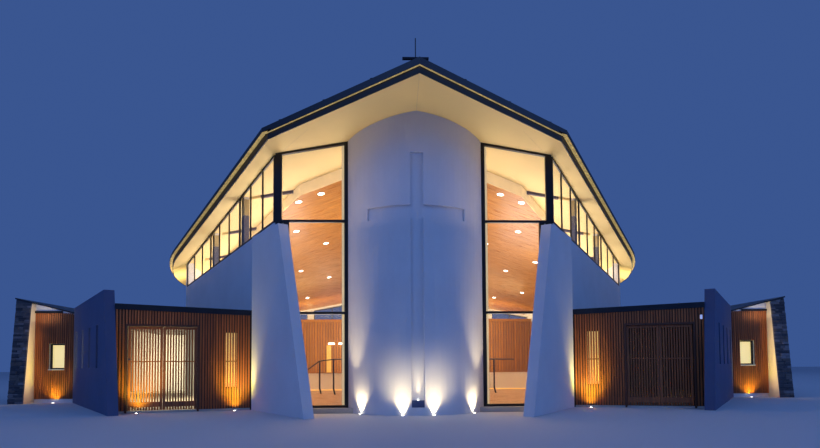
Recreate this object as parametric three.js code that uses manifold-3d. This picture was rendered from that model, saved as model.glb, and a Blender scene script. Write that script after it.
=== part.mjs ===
// A modern church. A white nave spreads out behind a prow-fronted gable roof, with a curved wall bearing a
// recessed cross between two tall windows. Low timber wings with double gates stand on both sides, each with a
// slotted blade wall in front and a stone wall at its end.
// Millimetres, +Z up, +X to the right of someone facing the front, +Y from the front to the back.
// Plans are drawn from the front glazing, which stands on y = 0, and the whole group is centred at the end.

import * as THREE from "three";
import { mergeVertices } from "three/addons/utils/BufferGeometryUtils.js";
import Module from "manifold-3d";

const wasm = await Module();
wasm.setup();

// Driving dimensions

const GAP = 0.4; // left between pieces that touch
const LAP = 1; // shared by shapes that are joined into one piece
const WALL = 250; // thickness of the nave's walls

// Roof: two planes that fall from the ridge to the sides and, gently, to the back
const RIDGE_SOFFIT = 6984; // underside of the roof at the ridge, above the front glazing
const CROSS_FALL = 0.175;
const BACK_FALL = 0.042;
const BAND = 150; // height of each of the two steps of the roof's edge in front
const SIDE_BAND = 100; // height of the upper step on the sides
const ROOF_TIP_Y = -2620;
const ROOF_KNEE = [3590, -770];
const EAVE_ANGLE = THREE.MathUtils.degToRad(32.4); // of the splayed eaves to the long axis
const EAVE_RADIUS = 9000;
const EAVE_X = 9950; // half width of the roof at the back
const LOWER_STEP = { front: 55, side: 110, rear: 110 }; // how far the lower step stands back
const TRIM = 20; // thickness of the lower step around the soffit
const CEILING_DROP = 330;
const CEILING_FRONT_INSET = 2845;
const CEILING_SIDE_INSET = 1940;
const CAP = { centre: -80, halfWidth: 270, front: -2500, length: 60, lift: 20, thickness: 40, saddle: 60 };
const ROD = { radius: 11, height: 410 };

// Nave walls
const CORNER = [3430, 0]; // outer corner of the front and the splayed side
const SPLAY = THREE.MathUtils.degToRad(31.7);
const BAYS = [2960, 3240, 3480]; // clerestory bays from front to back
const PANELS_PER_BAY = 3;
const CLERESTORY_DEPTH = 40;
const MULLION = { half: 16, atPier: 42 };
const FLANK_RADIUS = 1500;
const REAR_WALL_Y = 22300;
const REAR_OVERHANG = 650;
const SILL_FRONT = 4680;
const SILL_FALL = 0.0561;
const PIER = { width: 250, front: 110 };
const FLANK_WINDOWS = { count: 3, first: 11600, width: 2900, pitch: 3300, head: 120 };
const REAR_WINDOWS = { count: 3, first: 500, width: 2300, pitch: 2700, sill: 3930, head: 430 };

// Front glazing
const FRAME_DEPTH = 80;
const SEAL = 3; // between the frame and the curved wall
const BAR = 60;
const HEAD_BAR = 55; // frame under the soffit
const APSE_JAMB_X = 1745; // inner edge of the frame beside the curved wall
const JAMB = { from: 1600, to: 1815, behind: 10, depth: 200 }; // straight end of the curved wall, behind the glass
const FIN_JAMB = [3100, 3220];
const POST_X = [3277, 3430];
const TRANSOMS = [2430, 4700];
const GLASS = 12;

// Curved wall with the cross
const APSE = { radius: 1861, centreY: 861, end: THREE.MathUtils.degToRad(65.6) };
const CROSS = { depth: 60, arm: 1150, halfWidth: 150, bottom: 180, top: 6060, armBottom: 4540, armTop: 4833 };
const CENTRE_SEGMENT = Math.asin(1225 / APSE.radius); // the cross stays inside the middle segment

// Fins beside the tall windows
const FIN = { back: [4260, 1100], angle: THREE.MathUtils.degToRad(33.5), length: 3205, top: 4550, run: 1450 };

// Floors
const NAVE_FLOOR = 120;
const PLINTH_Y = -200;
const WING_FLOOR = 50;
const LOW_WALL = { halfWidth: 5000, y: 9300, top: 830, thickness: 150 };

// Wings
const WING_START = [4280, 1160];
const WING_HEADING = THREE.MathUtils.degToRad(-15.5);
const SCREEN = 120; // thickness of the slatted walls
const GATE = { from: 1330, to: 2950, head: 2150, bottom: 65, thickness: 45, middle: 10 };
const LEAF = { stile: 62, topRail: 60, lowRail: [140, 270], midRail: [1262, 1288], battens: 10, batten: 36 };
const LEAF_CLEARANCE = 6; // under the gateway's head
const PIVOT = { radius: 10, offset: 16 };
const SCREEN_WINDOW = { from: 340, to: 667, sill: 590, head: 2040 };
const WING_ROOF = { bottom: 2472, depth: 140, rise: 0.031, proud: 40 };
const WING_BACK_Y = 12000;
const WING_WALL = 200;
const PANE = 20;
const BLADE = { front: [7220, -360], angle: THREE.MathUtils.degToRad(35.5), length: 6205, thickness: 235 };
const BLADE_TOP = { z: 3050, rake: 0.25 };
const SLOT = { first: 1670, pitch: 1285, count: 4, width: 280, bottom: 1120, top: 2230 };
const SIDE_WALL = { y: 4830, from: 10650 };
const SIDE_WINDOW = { from: 11180, to: 11670, sill: 1080, head: 1910, paneDepth: 140 };
const STONE = { inner: 12130, outer: 12610, front: 4300, rake: 0.1, capFront: 4600 };
const SIDE_ROOF = { from: 10830, outer: 12640, front: 4810, bottom: 2910, depth: 45 };
const SIDE_SLOPE = { from: 11000, rise: 0.26 };
const LOW_ROOF_X = 11000; // where the low wing roof ends under the side roof
const CURB = 100;

// Colours and finishes
const FINISHES = {
  render: { color: 0xe7e4df, roughness: 0.85, metalness: 0 },
  greyRender: { color: 0x6d717b, roughness: 0.85, metalness: 0 },
  soffit: { color: 0xf2e0b6, roughness: 0.8, metalness: 0 },
  ceiling: { color: 0xb87440, roughness: 0.5, metalness: 0 },
  roofMetal: { color: 0x23262d, roughness: 0.45, metalness: 0.6 },
  frame: { color: 0x17181c, roughness: 0.4, metalness: 0.5 },
  glass: { color: 0xf3d9a4, roughness: 0.05, metalness: 0, transparent: true, opacity: 0.35 },
  timber: { color: 0x7a4a2b, roughness: 0.7, metalness: 0 },
  stone: { color: 0x77706a, roughness: 0.95, metalness: 0 },
  concrete: { color: 0xb9b4ab, roughness: 0.9, metalness: 0 },
};

// Shapes

function solidOf(geometry) {
  const bare = geometry.clone();
  bare.deleteAttribute("normal");
  bare.deleteAttribute("uv");
  const merged = mergeVertices(bare, 1e-3);
  return new wasm.Manifold(
    new wasm.Mesh({
      numProp: 3,
      vertProperties: merged.attributes.position.array,
      triVerts: new Uint32Array(merged.index.array),
    }),
  );
}

function geometryOf(solid) {
  const mesh = solid.getMesh();
  const geometry = new THREE.BufferGeometry();
  geometry.setAttribute("position", new THREE.BufferAttribute(mesh.vertProperties, mesh.numProp));
  geometry.setIndex(new THREE.BufferAttribute(mesh.triVerts, 1));
  geometry.computeVertexNormals();
  return geometry;
}

const join = (solids) => solids.reduce((all, next) => all.add(next));
const cut = (base, tools) => tools.reduce((left, tool) => left.subtract(tool), base);
const asHeight = (height) => (typeof height === "function" ? height : () => height);

// A plan outline raised between two heights, each a number or a plane of x and y. Where lean is given, it says
// how far each point of the outline moves in plan for each millimetre that it rises.
function slab(plan, bottom, top, lean = () => [0, 0]) {
  const shape = new THREE.Shape(plan.map(([x, y]) => new THREE.Vector2(x, y)));
  const geometry = new THREE.ExtrudeGeometry(shape, { depth: 1, bevelEnabled: false });
  const position = geometry.attributes.position;
  for (let i = 0; i < position.count; i++) {
    const x = position.getX(i);
    const y = position.getY(i);
    const z = asHeight(position.getZ(i) > 0.5 ? top : bottom)(x, y);
    const [dx, dy] = lean(x, y);
    position.setXYZ(i, x + dx * z, y + dy * z, z);
  }
  return solidOf(geometry);
}

const rectangle = (x0, x1, y0, y1) => [
  [x0, y0],
  [x1, y0],
  [x1, y1],
  [x0, y1],
];
const mirroredPlan = (plan) => plan.map(([x, y]) => [-x, y]);

// The same plan on both sides of the axis, joined over the ridge line
const symmetricSlab = (plan, bottom, top) =>
  join([slab(plan, bottom, top), slab(mirroredPlan(plan), bottom, top)]);

// A point at a distance along a wall line and a depth behind its outer face
function wallLine(start, heading, inward) {
  const along = [Math.cos(heading), Math.sin(heading)];
  const into = [-Math.sin(heading) * inward, Math.cos(heading) * inward];
  const point = (distance, depth) => [
    start[0] + along[0] * distance + into[0] * depth,
    start[1] + along[1] * distance + into[1] * depth,
  ];
  return { along, into, point };
}

// Where a line at one depth of a wall meets a line, at another depth, of a second wall
function crossing(first, firstDepth, second, secondDepth) {
  const p = first.point(0, firstDepth);
  const q = second.point(0, secondDepth);
  const [ax, ay] = first.along;
  const [bx, by] = second.along;
  const t = ((q[0] - p[0]) * by - (q[1] - p[1]) * bx) / (ax * by - ay * bx);
  return [p[0] + ax * t, p[1] + ay * t];
}

function arc(centre, radius, from, to, steps) {
  const angles = Array.from({ length: steps + 1 }, (_, i) => from + ((to - from) * i) / steps);
  return angles.map((angle) => [centre[0] + radius * Math.cos(angle), centre[1] + radius * Math.sin(angle)]);
}

function piece(name, finish, solid) {
  const mesh = new THREE.Mesh(geometryOf(solid), new THREE.MeshStandardMaterial(FINISHES[finish]));
  mesh.name = name;
  return mesh;
}

// Wall lines and heights

const soffit = (x, y) => RIDGE_SOFFIT - CROSS_FALL * Math.abs(x) - BACK_FALL * y;
const raised = (plane, rise) => (x, y) => plane(x, y) + rise;
const underSoffit = raised(soffit, -GAP);
const sill = (x, y) => SILL_FRONT - SILL_FALL * y;

const sideLine = wallLine(CORNER, Math.PI / 2 - SPLAY, 1);
const sideLength = BAYS.reduce((sum, bay) => sum + bay);
const finLine = wallLine(
  [FIN.back[0] - FIN.length * Math.sin(FIN.angle), FIN.back[1] - FIN.length * Math.cos(FIN.angle)],
  Math.PI / 2 - FIN.angle,
  1,
);
const finEnd = wallLine(finLine.point(FIN.length, 0), Math.PI - FIN.angle, 1);
const wingLine = wallLine(WING_START, WING_HEADING, 1);
const bladeLine = wallLine(BLADE.front, Math.PI / 2 - BLADE.angle, 1);
const acrossLine = (y) => wallLine([0, y], 0, 1);

const flankCentre = sideLine.point(sideLength, FLANK_RADIUS);
const flankX = flankCentre[0] + FLANK_RADIUS;
const flankArc = (depth, steps = 8) => arc(flankCentre, FLANK_RADIUS - depth, -SPLAY, 0, steps);

const lowRoofBottom = (x, y) =>
  WING_ROOF.bottom +
  WING_ROOF.rise * ((x - WING_START[0]) * wingLine.along[0] + (y - WING_START[1]) * wingLine.along[1]);
const sideRoofBottom = (x) => SIDE_ROOF.bottom + SIDE_SLOPE.rise * (x - SIDE_SLOPE.from);

// Roof

// Half of the roof's plan, from its front tip to its back, drawn in from the edge by the given insets
function roofPlan(frontInset, sideInset, rearInset) {
  const front = Math.atan2(ROOF_KNEE[1] - ROOF_TIP_Y, ROOF_KNEE[0]);
  const frontLine = wallLine([0, ROOF_TIP_Y], front, 1);
  const eaveLine = wallLine(ROOF_KNEE, Math.PI / 2 - EAVE_ANGLE, 1);
  const centreX = EAVE_X - EAVE_RADIUS;
  const arcStartX = centreX + EAVE_RADIUS * Math.cos(EAVE_ANGLE);
  const arcStartY = ROOF_KNEE[1] + (arcStartX - ROOF_KNEE[0]) / Math.tan(EAVE_ANGLE);
  const centre = [centreX, arcStartY + EAVE_RADIUS * Math.sin(EAVE_ANGLE)];
  const rear = REAR_WALL_Y + REAR_OVERHANG - rearInset;
  const axis = wallLine([GAP / 2, 0], Math.PI / 2, 1);
  return [
    crossing(frontLine, frontInset, axis, 0),
    crossing(frontLine, frontInset, eaveLine, sideInset),
    ...arc(centre, EAVE_RADIUS - sideInset, -EAVE_ANGLE, 0, 10),
    [EAVE_X - sideInset, rear],
    [GAP / 2, rear],
  ];
}

function roof() {
  const { front, side, rear } = LOWER_STEP;
  const step = raised(soffit, 2 * BAND - SIDE_BAND);
  const deck = slab(roofPlan(0, 0, 0), step, raised(soffit, 2 * BAND));
  const frontStep = slab(roofPlan(0, side + TRIM, 0), raised(soffit, BAND), raised(step, LAP));
  const lowerStep = slab(roofPlan(front, side, rear), soffit, raised(step, LAP));
  const pocketPlan = roofPlan(front + TRIM, side + TRIM, rear + TRIM);
  const pocket = slab(pocketPlan, raised(soffit, -BAND), raised(soffit, BAND));
  return join([deck, frontStep, cut(lowerStep, [pocket])]);
}

function soffitPanel() {
  const inset = TRIM + GAP;
  const plan = roofPlan(LOWER_STEP.front + inset, LOWER_STEP.side + inset, LOWER_STEP.rear + inset);
  return slab(plan, soffit, raised(soffit, BAND - GAP));
}

function ceiling() {
  const plan = roofPlan(CEILING_FRONT_INSET, CEILING_SIDE_INSET, REAR_OVERHANG + WALL + GAP);
  return slab(plan, raised(soffit, -CEILING_DROP), underSoffit);
}

// A flat bar with a rod, on a narrow saddle over the ridge
function ridgeCap() {
  const { centre, halfWidth, front, length, lift, thickness } = CAP;
  const bottom = RIDGE_SOFFIT + 2 * BAND - BACK_FALL * front + lift;
  const top = bottom + thickness;
  const plate = slab(rectangle(centre - halfWidth, centre + halfWidth, front, front + length), bottom, top);
  const saddlePlan = rectangle(0, CAP.saddle, front + TRIM, front + length - TRIM);
  const saddle = symmetricSlab(saddlePlan, raised(soffit, 2 * BAND + GAP), bottom + LAP);
  const rod = new THREE.CylinderGeometry(ROD.radius, ROD.radius, ROD.height + LAP, 8);
  rod.rotateX(Math.PI / 2);
  rod.translate(centre, front + length / 2, top + (ROD.height - LAP) / 2);
  return join([plate, saddle, solidOf(rod)]);
}

// Nave

const glassBack = FRAME_DEPTH + GAP + GLASS;
const apsePoint = (radius, angle) => [radius * Math.sin(angle), APSE.centreY - radius * Math.cos(angle)];

// Plan of a stretch of the curved wall, between two angles from the axis
function apsePlan(inner, outer, from, to, steps) {
  const angles = Array.from({ length: steps + 1 }, (_, i) => from + ((to - from) * i) / steps);
  const outerSide = angles.map((angle) => apsePoint(outer, angle));
  const innerSide = angles.map((angle) => apsePoint(inner, angle));
  return [...outerSide, ...innerSide.reverse()];
}

function crossRecess() {
  const inner = APSE.radius - CROSS.depth;
  const outer = APSE.radius + CROSS.depth;
  const post = Math.asin(CROSS.halfWidth / APSE.radius);
  const arm = Math.asin(CROSS.arm / APSE.radius);
  return [
    symmetricSlab(apsePlan(inner, outer, 0, post, 2), CROSS.bottom, CROSS.top),
    symmetricSlab(apsePlan(inner, outer, 0, arm, 10), CROSS.armBottom, CROSS.armTop),
  ];
}

function apseCentre() {
  const plan = apsePlan(APSE.radius - WALL, APSE.radius, 0, CENTRE_SEGMENT, 10);
  return cut(symmetricSlab(plan, 0, underSoffit), crossRecess());
}

function apseSide() {
  const from = CENTRE_SEGMENT + GAP / APSE.radius;
  const curve = slab(apsePlan(APSE.radius - WALL, APSE.radius, from, APSE.end, 6), 0, underSoffit);
  const front = glassBack + JAMB.behind;
  const jamb = slab(rectangle(JAMB.from, JAMB.to, front, front + JAMB.depth), NAVE_FLOOR + GAP, underSoffit);
  return join([curve, jamb]);
}

function naveFloor() {
  const plinth = acrossLine(PLINTH_Y);
  const inner = WALL + GAP;
  const half = [
    [0, PLINTH_Y],
    crossing(plinth, 0, finLine, inner),
    finLine.point(FIN.length, inner),
    crossing(finEnd, 0, sideLine, inner),
    ...flankArc(inner),
    [flankX - inner, REAR_WALL_Y - inner],
    [0, REAR_WALL_Y - inner],
  ];
  const floorRadius = APSE.radius - WALL / 2;
  const floorEnd = -Math.asin(APSE.centreY / floorRadius);
  const apseFloor = [[0, 0], ...arc([0, APSE.centreY], floorRadius, -Math.PI / 2, floorEnd, 8)];
  const ring = apsePlan(APSE.radius - WALL - GAP, APSE.radius + GAP, 0, APSE.end + 2 * GAP / APSE.radius, 16);
  const floor = join([symmetricSlab(half, 0, NAVE_FLOOR), symmetricSlab(apseFloor, 0, NAVE_FLOOR)]);
  return cut(floor, [symmetricSlab(ring, -BAR, NAVE_FLOOR + BAR)]);
}

function fin() {
  const plan = [
    finLine.point(0, 0),
    finLine.point(FIN.length, 0),
    finLine.point(FIN.length, WALL),
    finLine.point(0, WALL),
  ];
  const [sx, sy] = finLine.along;
  const isFront = (x, y) => (x - plan[0][0]) * sx + (y - plan[0][1]) * sy < FIN.length / 2;
  const rake = FIN.run / FIN.top;
  return slab(plan, 0, FIN.top, (x, y) => (isFront(x, y) ? [sx * rake, sy * rake] : [0, 0]));
}

function naveWall() {
  const front = acrossLine(glassBack + GAP);
  const plan = [
    crossing(front, 0, sideLine, 0),
    sideLine.point(sideLength - GAP, 0),
    sideLine.point(sideLength - GAP, WALL),
    crossing(front, 0, sideLine, WALL),
  ];
  const start = finLine.point(FIN.length + GAP, 0);
  const beside = wallLine(start, Math.PI - FIN.angle, 1);
  const room = [
    beside.point(-2 * WALL, 0),
    beside.point(4 * WALL, 0),
    finLine.point(0, 4 * WALL),
    finLine.point(0, -2 * WALL),
  ];
  const piers = [BAYS[0], BAYS[0] + BAYS[1]].map((distance) => {
    const from = distance - PIER.width / 2;
    const to = distance + PIER.width / 2;
    const pier = [
      sideLine.point(from, PIER.front),
      sideLine.point(to, PIER.front),
      sideLine.point(to, WALL + LAP),
      sideLine.point(from, WALL + LAP),
    ];
    return slab(pier, raised(sill, -BAR), underSoffit);
  });
  return join([cut(slab(plan, 0, sill), [slab(room, -BAR, FIN.top + GAP)]), ...piers]);
}

function clerestoryStrip(outerDepth, innerDepth) {
  const front = acrossLine(glassBack + GAP);
  return [
    crossing(front, 0, sideLine, outerDepth),
    sideLine.point(sideLength - GAP, outerDepth),
    sideLine.point(sideLength - GAP, innerDepth),
    crossing(front, 0, sideLine, innerDepth),
  ];
}

// Clear widths between the clerestory's mullions, as distances along the wall
function panels() {
  const list = [];
  let start = 0;
  let from = 2.5 * BAR;
  for (const bay of BAYS) {
    for (let panel = 1; panel <= PANELS_PER_BAY; panel++) {
      const half = panel === PANELS_PER_BAY ? MULLION.atPier : MULLION.half;
      const mullion = start + (bay * panel) / PANELS_PER_BAY;
      const last = mullion > sideLength - BAR;
      list.push([from, last ? mullion - 2 * MULLION.half : mullion - half]);
      from = mullion + half;
    }
    start += bay;
  }
  return list;
}

function clerestoryFrame() {
  const openings = panels().map(([from, to]) => {
    const plan = [
      sideLine.point(from, -BAR),
      sideLine.point(to, -BAR),
      sideLine.point(to, CLERESTORY_DEPTH + BAR),
      sideLine.point(from, CLERESTORY_DEPTH + BAR),
    ];
    return slab(plan, raised(sill, BAR), raised(soffit, -HEAD_BAR));
  });
  return cut(slab(clerestoryStrip(0, CLERESTORY_DEPTH), raised(sill, GAP), underSoffit), openings);
}

function clerestoryGlass() {
  const depth = CLERESTORY_DEPTH + GAP;
  return slab(clerestoryStrip(depth, depth + GLASS), raised(sill, GAP), underSoffit);
}

const frontBar = (x0, x1, bottom, top) => slab(rectangle(x0, x1, 0, FRAME_DEPTH), bottom, top);

function frontFrame() {
  const floor = NAVE_FLOOR + GAP;
  const inner = APSE_JAMB_X - BAR;
  const bars = [
    frontBar(inner - BAR, APSE_JAMB_X, floor, underSoffit),
    frontBar(FIN_JAMB[0], FIN_JAMB[1], floor, TRANSOMS[1]),
    frontBar(POST_X[0], POST_X[1], FIN.top + GAP, underSoffit),
    frontBar(inner, FIN_JAMB[1], floor, floor + BAR),
    frontBar(inner, FIN_JAMB[1], TRANSOMS[0] - BAR / 2, TRANSOMS[0] + BAR / 2),
    frontBar(inner, POST_X[1], TRANSOMS[1] - BAR / 2, TRANSOMS[1] + BAR / 2),
    frontBar(inner, POST_X[1], raised(soffit, -HEAD_BAR), underSoffit),
  ];
  const apse = slab(apsePlan(0, APSE.radius + SEAL, 0, Math.PI / 2, 24), -BAR, RIDGE_SOFFIT);
  return cut(join(bars), [apse]);
}

function frontGlass() {
  const from = APSE_JAMB_X - BAR / 4;
  const low = rectangle(from, FIN_JAMB[1] - BAR / 4, FRAME_DEPTH + GAP, glassBack);
  const high = rectangle(from, POST_X[1] - BAR / 2, FRAME_DEPTH + GAP, glassBack);
  return join([slab(low, NAVE_FLOOR + GAP, TRANSOMS[1]), slab(high, TRANSOMS[1] - BAR / 2, underSoffit)]);
}

const flankWindows = (depth, margin) =>
  Array.from({ length: FLANK_WINDOWS.count }, (_, i) => {
    const from = FLANK_WINDOWS.first + i * FLANK_WINDOWS.pitch;
    const to = from + FLANK_WINDOWS.width;
    const plan = rectangle(flankX - depth[1], flankX - depth[0], from - margin, to + margin);
    return slab(plan, raised(sill, -margin), raised(soffit, margin - FLANK_WINDOWS.head));
  });

function flankWall() {
  const plan = [
    ...flankArc(0),
    [flankX, REAR_WALL_Y],
    [flankX - WALL, REAR_WALL_Y],
    ...flankArc(WALL).reverse(),
  ];
  return cut(slab(plan, 0, underSoffit), flankWindows([-BAR, WALL + BAR], 0));
}

// One sheet behind all of a flank's windows, against the inner face of the wall
function flankGlass() {
  const end = FLANK_WINDOWS.first + (FLANK_WINDOWS.count - 1) * FLANK_WINDOWS.pitch + FLANK_WINDOWS.width + BAR;
  const inner = flankX - WALL - GAP;
  const plan = rectangle(inner - GLASS, inner, FLANK_WINDOWS.first - BAR, end);
  return slab(plan, raised(sill, -BAR), raised(soffit, BAR / 2 - FLANK_WINDOWS.head));
}

const rearWindowTop = raised(soffit, -REAR_WINDOWS.head);

function rearWall() {
  const inner = flankX - WALL - GAP;
  const wall = symmetricSlab(rectangle(0, inner, REAR_WALL_Y - WALL, REAR_WALL_Y), 0, underSoffit);
  const windows = Array.from({ length: REAR_WINDOWS.count }, (_, i) => {
    const from = REAR_WINDOWS.first + i * REAR_WINDOWS.pitch;
    const plan = rectangle(from, from + REAR_WINDOWS.width, REAR_WALL_Y - 2 * WALL, REAR_WALL_Y + WALL);
    return symmetricSlab(plan, REAR_WINDOWS.sill, rearWindowTop);
  });
  return cut(wall, windows);
}

// One sheet behind the rear windows, in front of the wall's outer third
function rearGlass() {
  const end = REAR_WINDOWS.first + (REAR_WINDOWS.count - 1) * REAR_WINDOWS.pitch + REAR_WINDOWS.width + BAR;
  const face = REAR_WALL_Y - WALL - GAP;
  const plan = rectangle(0, end, face - GLASS, face);
  return symmetricSlab(plan, REAR_WINDOWS.sill - BAR, raised(rearWindowTop, BAR / 2));
}

function lowWall() {
  const { halfWidth, y, top, thickness } = LOW_WALL;
  return slab(rectangle(-halfWidth, halfWidth, y, y + thickness), NAVE_FLOOR + GAP, top);
}

// Wings

const wingStrip = (from, to, outerDepth, innerDepth) => [
  wingLine.point(from, outerDepth),
  wingLine.point(to, outerDepth),
  wingLine.point(to, innerDepth),
  wingLine.point(from, innerDepth),
];
const underLowRoof = raised(lowRoofBottom, -GAP);

const screenWindow = (depth, margin) =>
  slab(
    wingStrip(SCREEN_WINDOW.from + margin, SCREEN_WINDOW.to - margin, depth[0], depth[1]),
    SCREEN_WINDOW.sill + margin,
    SCREEN_WINDOW.head - margin,
  );

function screen() {
  const plan = [
    crossing(wingLine, 0, sideLine, -GAP),
    wingLine.point(GATE.from, 0),
    wingLine.point(GATE.from, SCREEN),
    crossing(wingLine, SCREEN, sideLine, -GAP),
  ];
  return cut(slab(plan, 0, underLowRoof), [screenWindow([-BAR, SCREEN + BAR], 0)]);
}

const screenHead = () => slab(wingStrip(GATE.from + GAP, GATE.to - GAP, 0, SCREEN), GATE.head, underLowRoof);

function screenEnd() {
  const inner = BLADE.thickness + GAP;
  const plan = [
    wingLine.point(GATE.to, 0),
    crossing(wingLine, 0, bladeLine, inner),
    crossing(wingLine, SCREEN, bladeLine, inner),
    wingLine.point(GATE.to, SCREEN),
  ];
  return slab(plan, 0, underLowRoof);
}

// A gate leaf seen from the front, hinged on its left, with its pivot at the origin
function gateLeaf() {
  const width = (GATE.to - GATE.from - GATE.middle) / 2 - PIVOT.offset;
  const top = GATE.head - LEAF_CLEARANCE;
  const panel = slab(rectangle(0, width, -GATE.thickness, 0), GATE.bottom, top);
  const inside = width - 2 * LEAF.stile;
  const gap = (inside - LEAF.battens * LEAF.batten) / (LEAF.battens + 1);
  const gaps = Array.from({ length: LEAF.battens + 1 }, (_, i) => {
    const x = LEAF.stile + i * (gap + LEAF.batten);
    const plan = rectangle(x, x + gap, -2 * GATE.thickness, GATE.thickness);
    return [
      slab(plan, GATE.bottom - BAR, LEAF.lowRail[0]),
      slab(plan, LEAF.lowRail[1], LEAF.midRail[0]),
      slab(plan, LEAF.midRail[1], top - LEAF.topRail),
    ];
  });
  const barrelHeight = GATE.head - WING_FLOOR - 2 * GAP;
  const barrel = new THREE.CylinderGeometry(PIVOT.radius, PIVOT.radius, barrelHeight, 12);
  barrel.rotateX(Math.PI / 2);
  barrel.translate(0, 0, WING_FLOOR + GAP + barrelHeight / 2);
  return join([cut(panel, gaps.flat()), solidOf(barrel)]);
}

// Both leaves of a gate, hung on pivots behind the outer face of the screen
function gate(side) {
  const group = new THREE.Group();
  group.position.set(WING_START[0], WING_START[1], 0);
  group.rotation.z = WING_HEADING;
  const inner = piece(`${side}_gate_inner_leaf`, "timber", gateLeaf());
  inner.position.set(GATE.from + PIVOT.offset, GATE.thickness + BAR / 4, 0);
  const mirrored = new THREE.Group();
  mirrored.position.set(GATE.to - PIVOT.offset, GATE.thickness + BAR / 4, 0);
  mirrored.scale.x = -1;
  mirrored.add(piece(`${side}_gate_outer_leaf`, "timber", gateLeaf()));
  group.add(inner, mirrored);
  return group;
}

// The wing's plan behind its front: from the nave's wall out to the blade and the side wall, and to the back
function wingPlan(front, outerX, backY, gap) {
  const inner = BLADE.thickness + gap;
  return [
    ...front,
    crossing(wallLine([SIDE_WALL.from - gap, 0], Math.PI / 2, 1), 0, bladeLine, inner),
    [SIDE_WALL.from - gap, SIDE_WALL.y + WING_WALL + gap],
    [outerX, SIDE_WALL.y + WING_WALL + gap],
    [outerX, backY],
    [flankX + gap, backY],
    ...flankArc(-gap).reverse(),
    crossing(finEnd, -2 * gap, sideLine, -gap),
  ];
}

function wingRoof() {
  const inner = BLADE.thickness + GAP;
  const proud = -WING_ROOF.proud;
  const front = [
    crossing(wingLine, proud, finEnd, -2 * GAP),
    crossing(wingLine, proud, bladeLine, inner),
  ];
  const lowTop = raised(lowRoofBottom, WING_ROOF.depth);
  const low = slab(wingPlan(front, LOW_ROOF_X, WING_BACK_Y, GAP), lowRoofBottom, lowTop);
  const capX = STONE.inner - BAR / 2;
  const highPlan = [
    [SIDE_ROOF.from, SIDE_ROOF.front],
    [capX, SIDE_ROOF.front],
    [capX, STONE.capFront],
    [SIDE_ROOF.outer, STONE.capFront],
    [SIDE_ROOF.outer, WING_BACK_Y + BAR],
    [SIDE_ROOF.from, WING_BACK_Y + BAR],
  ];
  const high = slab(highPlan, sideRoofBottom, raised(sideRoofBottom, SIDE_ROOF.depth));
  const curbFront = SIDE_WALL.y + WING_WALL + GAP;
  const curbPlan = rectangle(SIDE_ROOF.from, SIDE_ROOF.from + CURB, curbFront, WING_BACK_Y);
  const curb = slab(curbPlan, raised(lowTop, -LAP), raised(sideRoofBottom, LAP));
  return join([low, high, curb]);
}

function wingFloor() {
  const inner = BLADE.thickness + GAP;
  const front = [
    crossing(wingLine, SCREEN + GAP, sideLine, -GAP),
    crossing(wingLine, SCREEN + GAP, bladeLine, inner),
  ];
  const plan = wingPlan(front, STONE.inner - GAP, WING_BACK_Y - WING_WALL - GAP, GAP).slice(0, -1);
  const threshold = wingStrip(GATE.from + GAP, GATE.to - GAP, 0, SCREEN + BAR);
  return join([slab(plan, 0, WING_FLOOR), slab(threshold, 0, WING_FLOOR)]);
}

function blade() {
  const plan = [
    bladeLine.point(0, 0),
    bladeLine.point(BLADE.length, 0),
    bladeLine.point(BLADE.length, BLADE.thickness),
    bladeLine.point(0, BLADE.thickness),
  ];
  const slots = Array.from({ length: SLOT.count }, (_, i) => {
    const from = SLOT.first + i * SLOT.pitch - SLOT.width / 2;
    const to = from + SLOT.width;
    const slotPlan = [
      bladeLine.point(from, -BAR),
      bladeLine.point(to, -BAR),
      bladeLine.point(to, BLADE.thickness + BAR),
      bladeLine.point(from, BLADE.thickness + BAR),
    ];
    return slab(slotPlan, SLOT.bottom, SLOT.top);
  });
  const [sx, sy] = bladeLine.along;
  const isFront = (x, y) => (x - BLADE.front[0]) * sx + (y - BLADE.front[1]) * sy < BLADE.length / 2;
  const lean = (x, y) => (isFront(x, y) ? [sx * BLADE_TOP.rake, sy * BLADE_TOP.rake] : [0, 0]);
  return cut(slab(plan, 0, BLADE_TOP.z, lean), slots);
}

const underSideRoof = (x) => sideRoofBottom(x) - GAP;

function sideWall() {
  const back = SIDE_WALL.y + WING_WALL;
  const plan = rectangle(SIDE_WALL.from, STONE.inner - GAP, SIDE_WALL.y, back);
  const windowPlan = rectangle(SIDE_WINDOW.from, SIDE_WINDOW.to, SIDE_WALL.y - BAR, back + BAR);
  return cut(slab(plan, 0, underSideRoof), [slab(windowPlan, SIDE_WINDOW.sill, SIDE_WINDOW.head)]);
}

function sidePane() {
  const middle = SIDE_WALL.y + SIDE_WINDOW.paneDepth;
  const plan = rectangle(SIDE_WINDOW.from + GAP, SIDE_WINDOW.to - GAP, middle - PANE / 2, middle + PANE / 2);
  return slab(plan, SIDE_WINDOW.sill + GAP, SIDE_WINDOW.head - GAP);
}

function screenPane() {
  return screenWindow([SCREEN / 2, SCREEN / 2 + PANE], GAP);
}

function stoneWall() {
  const plan = rectangle(STONE.inner, STONE.outer, STONE.front, WING_BACK_Y);
  const isFront = (x, y) => y < STONE.front + WALL;
  return slab(plan, 0, underSideRoof, (x, y) => (isFront(x, y) ? [0, STONE.rake] : [0, 0]));
}

function wingBackWall() {
  const front = WING_BACK_Y - WING_WALL;
  const low = rectangle(flankX + GAP, LOW_ROOF_X + BAR, front, WING_BACK_Y);
  const high = rectangle(LOW_ROOF_X + GAP, STONE.inner - GAP, front, WING_BACK_Y);
  return join([slab(low, 0, underLowRoof), slab(high, 0, underSideRoof)]);
}

// Assembly

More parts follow.
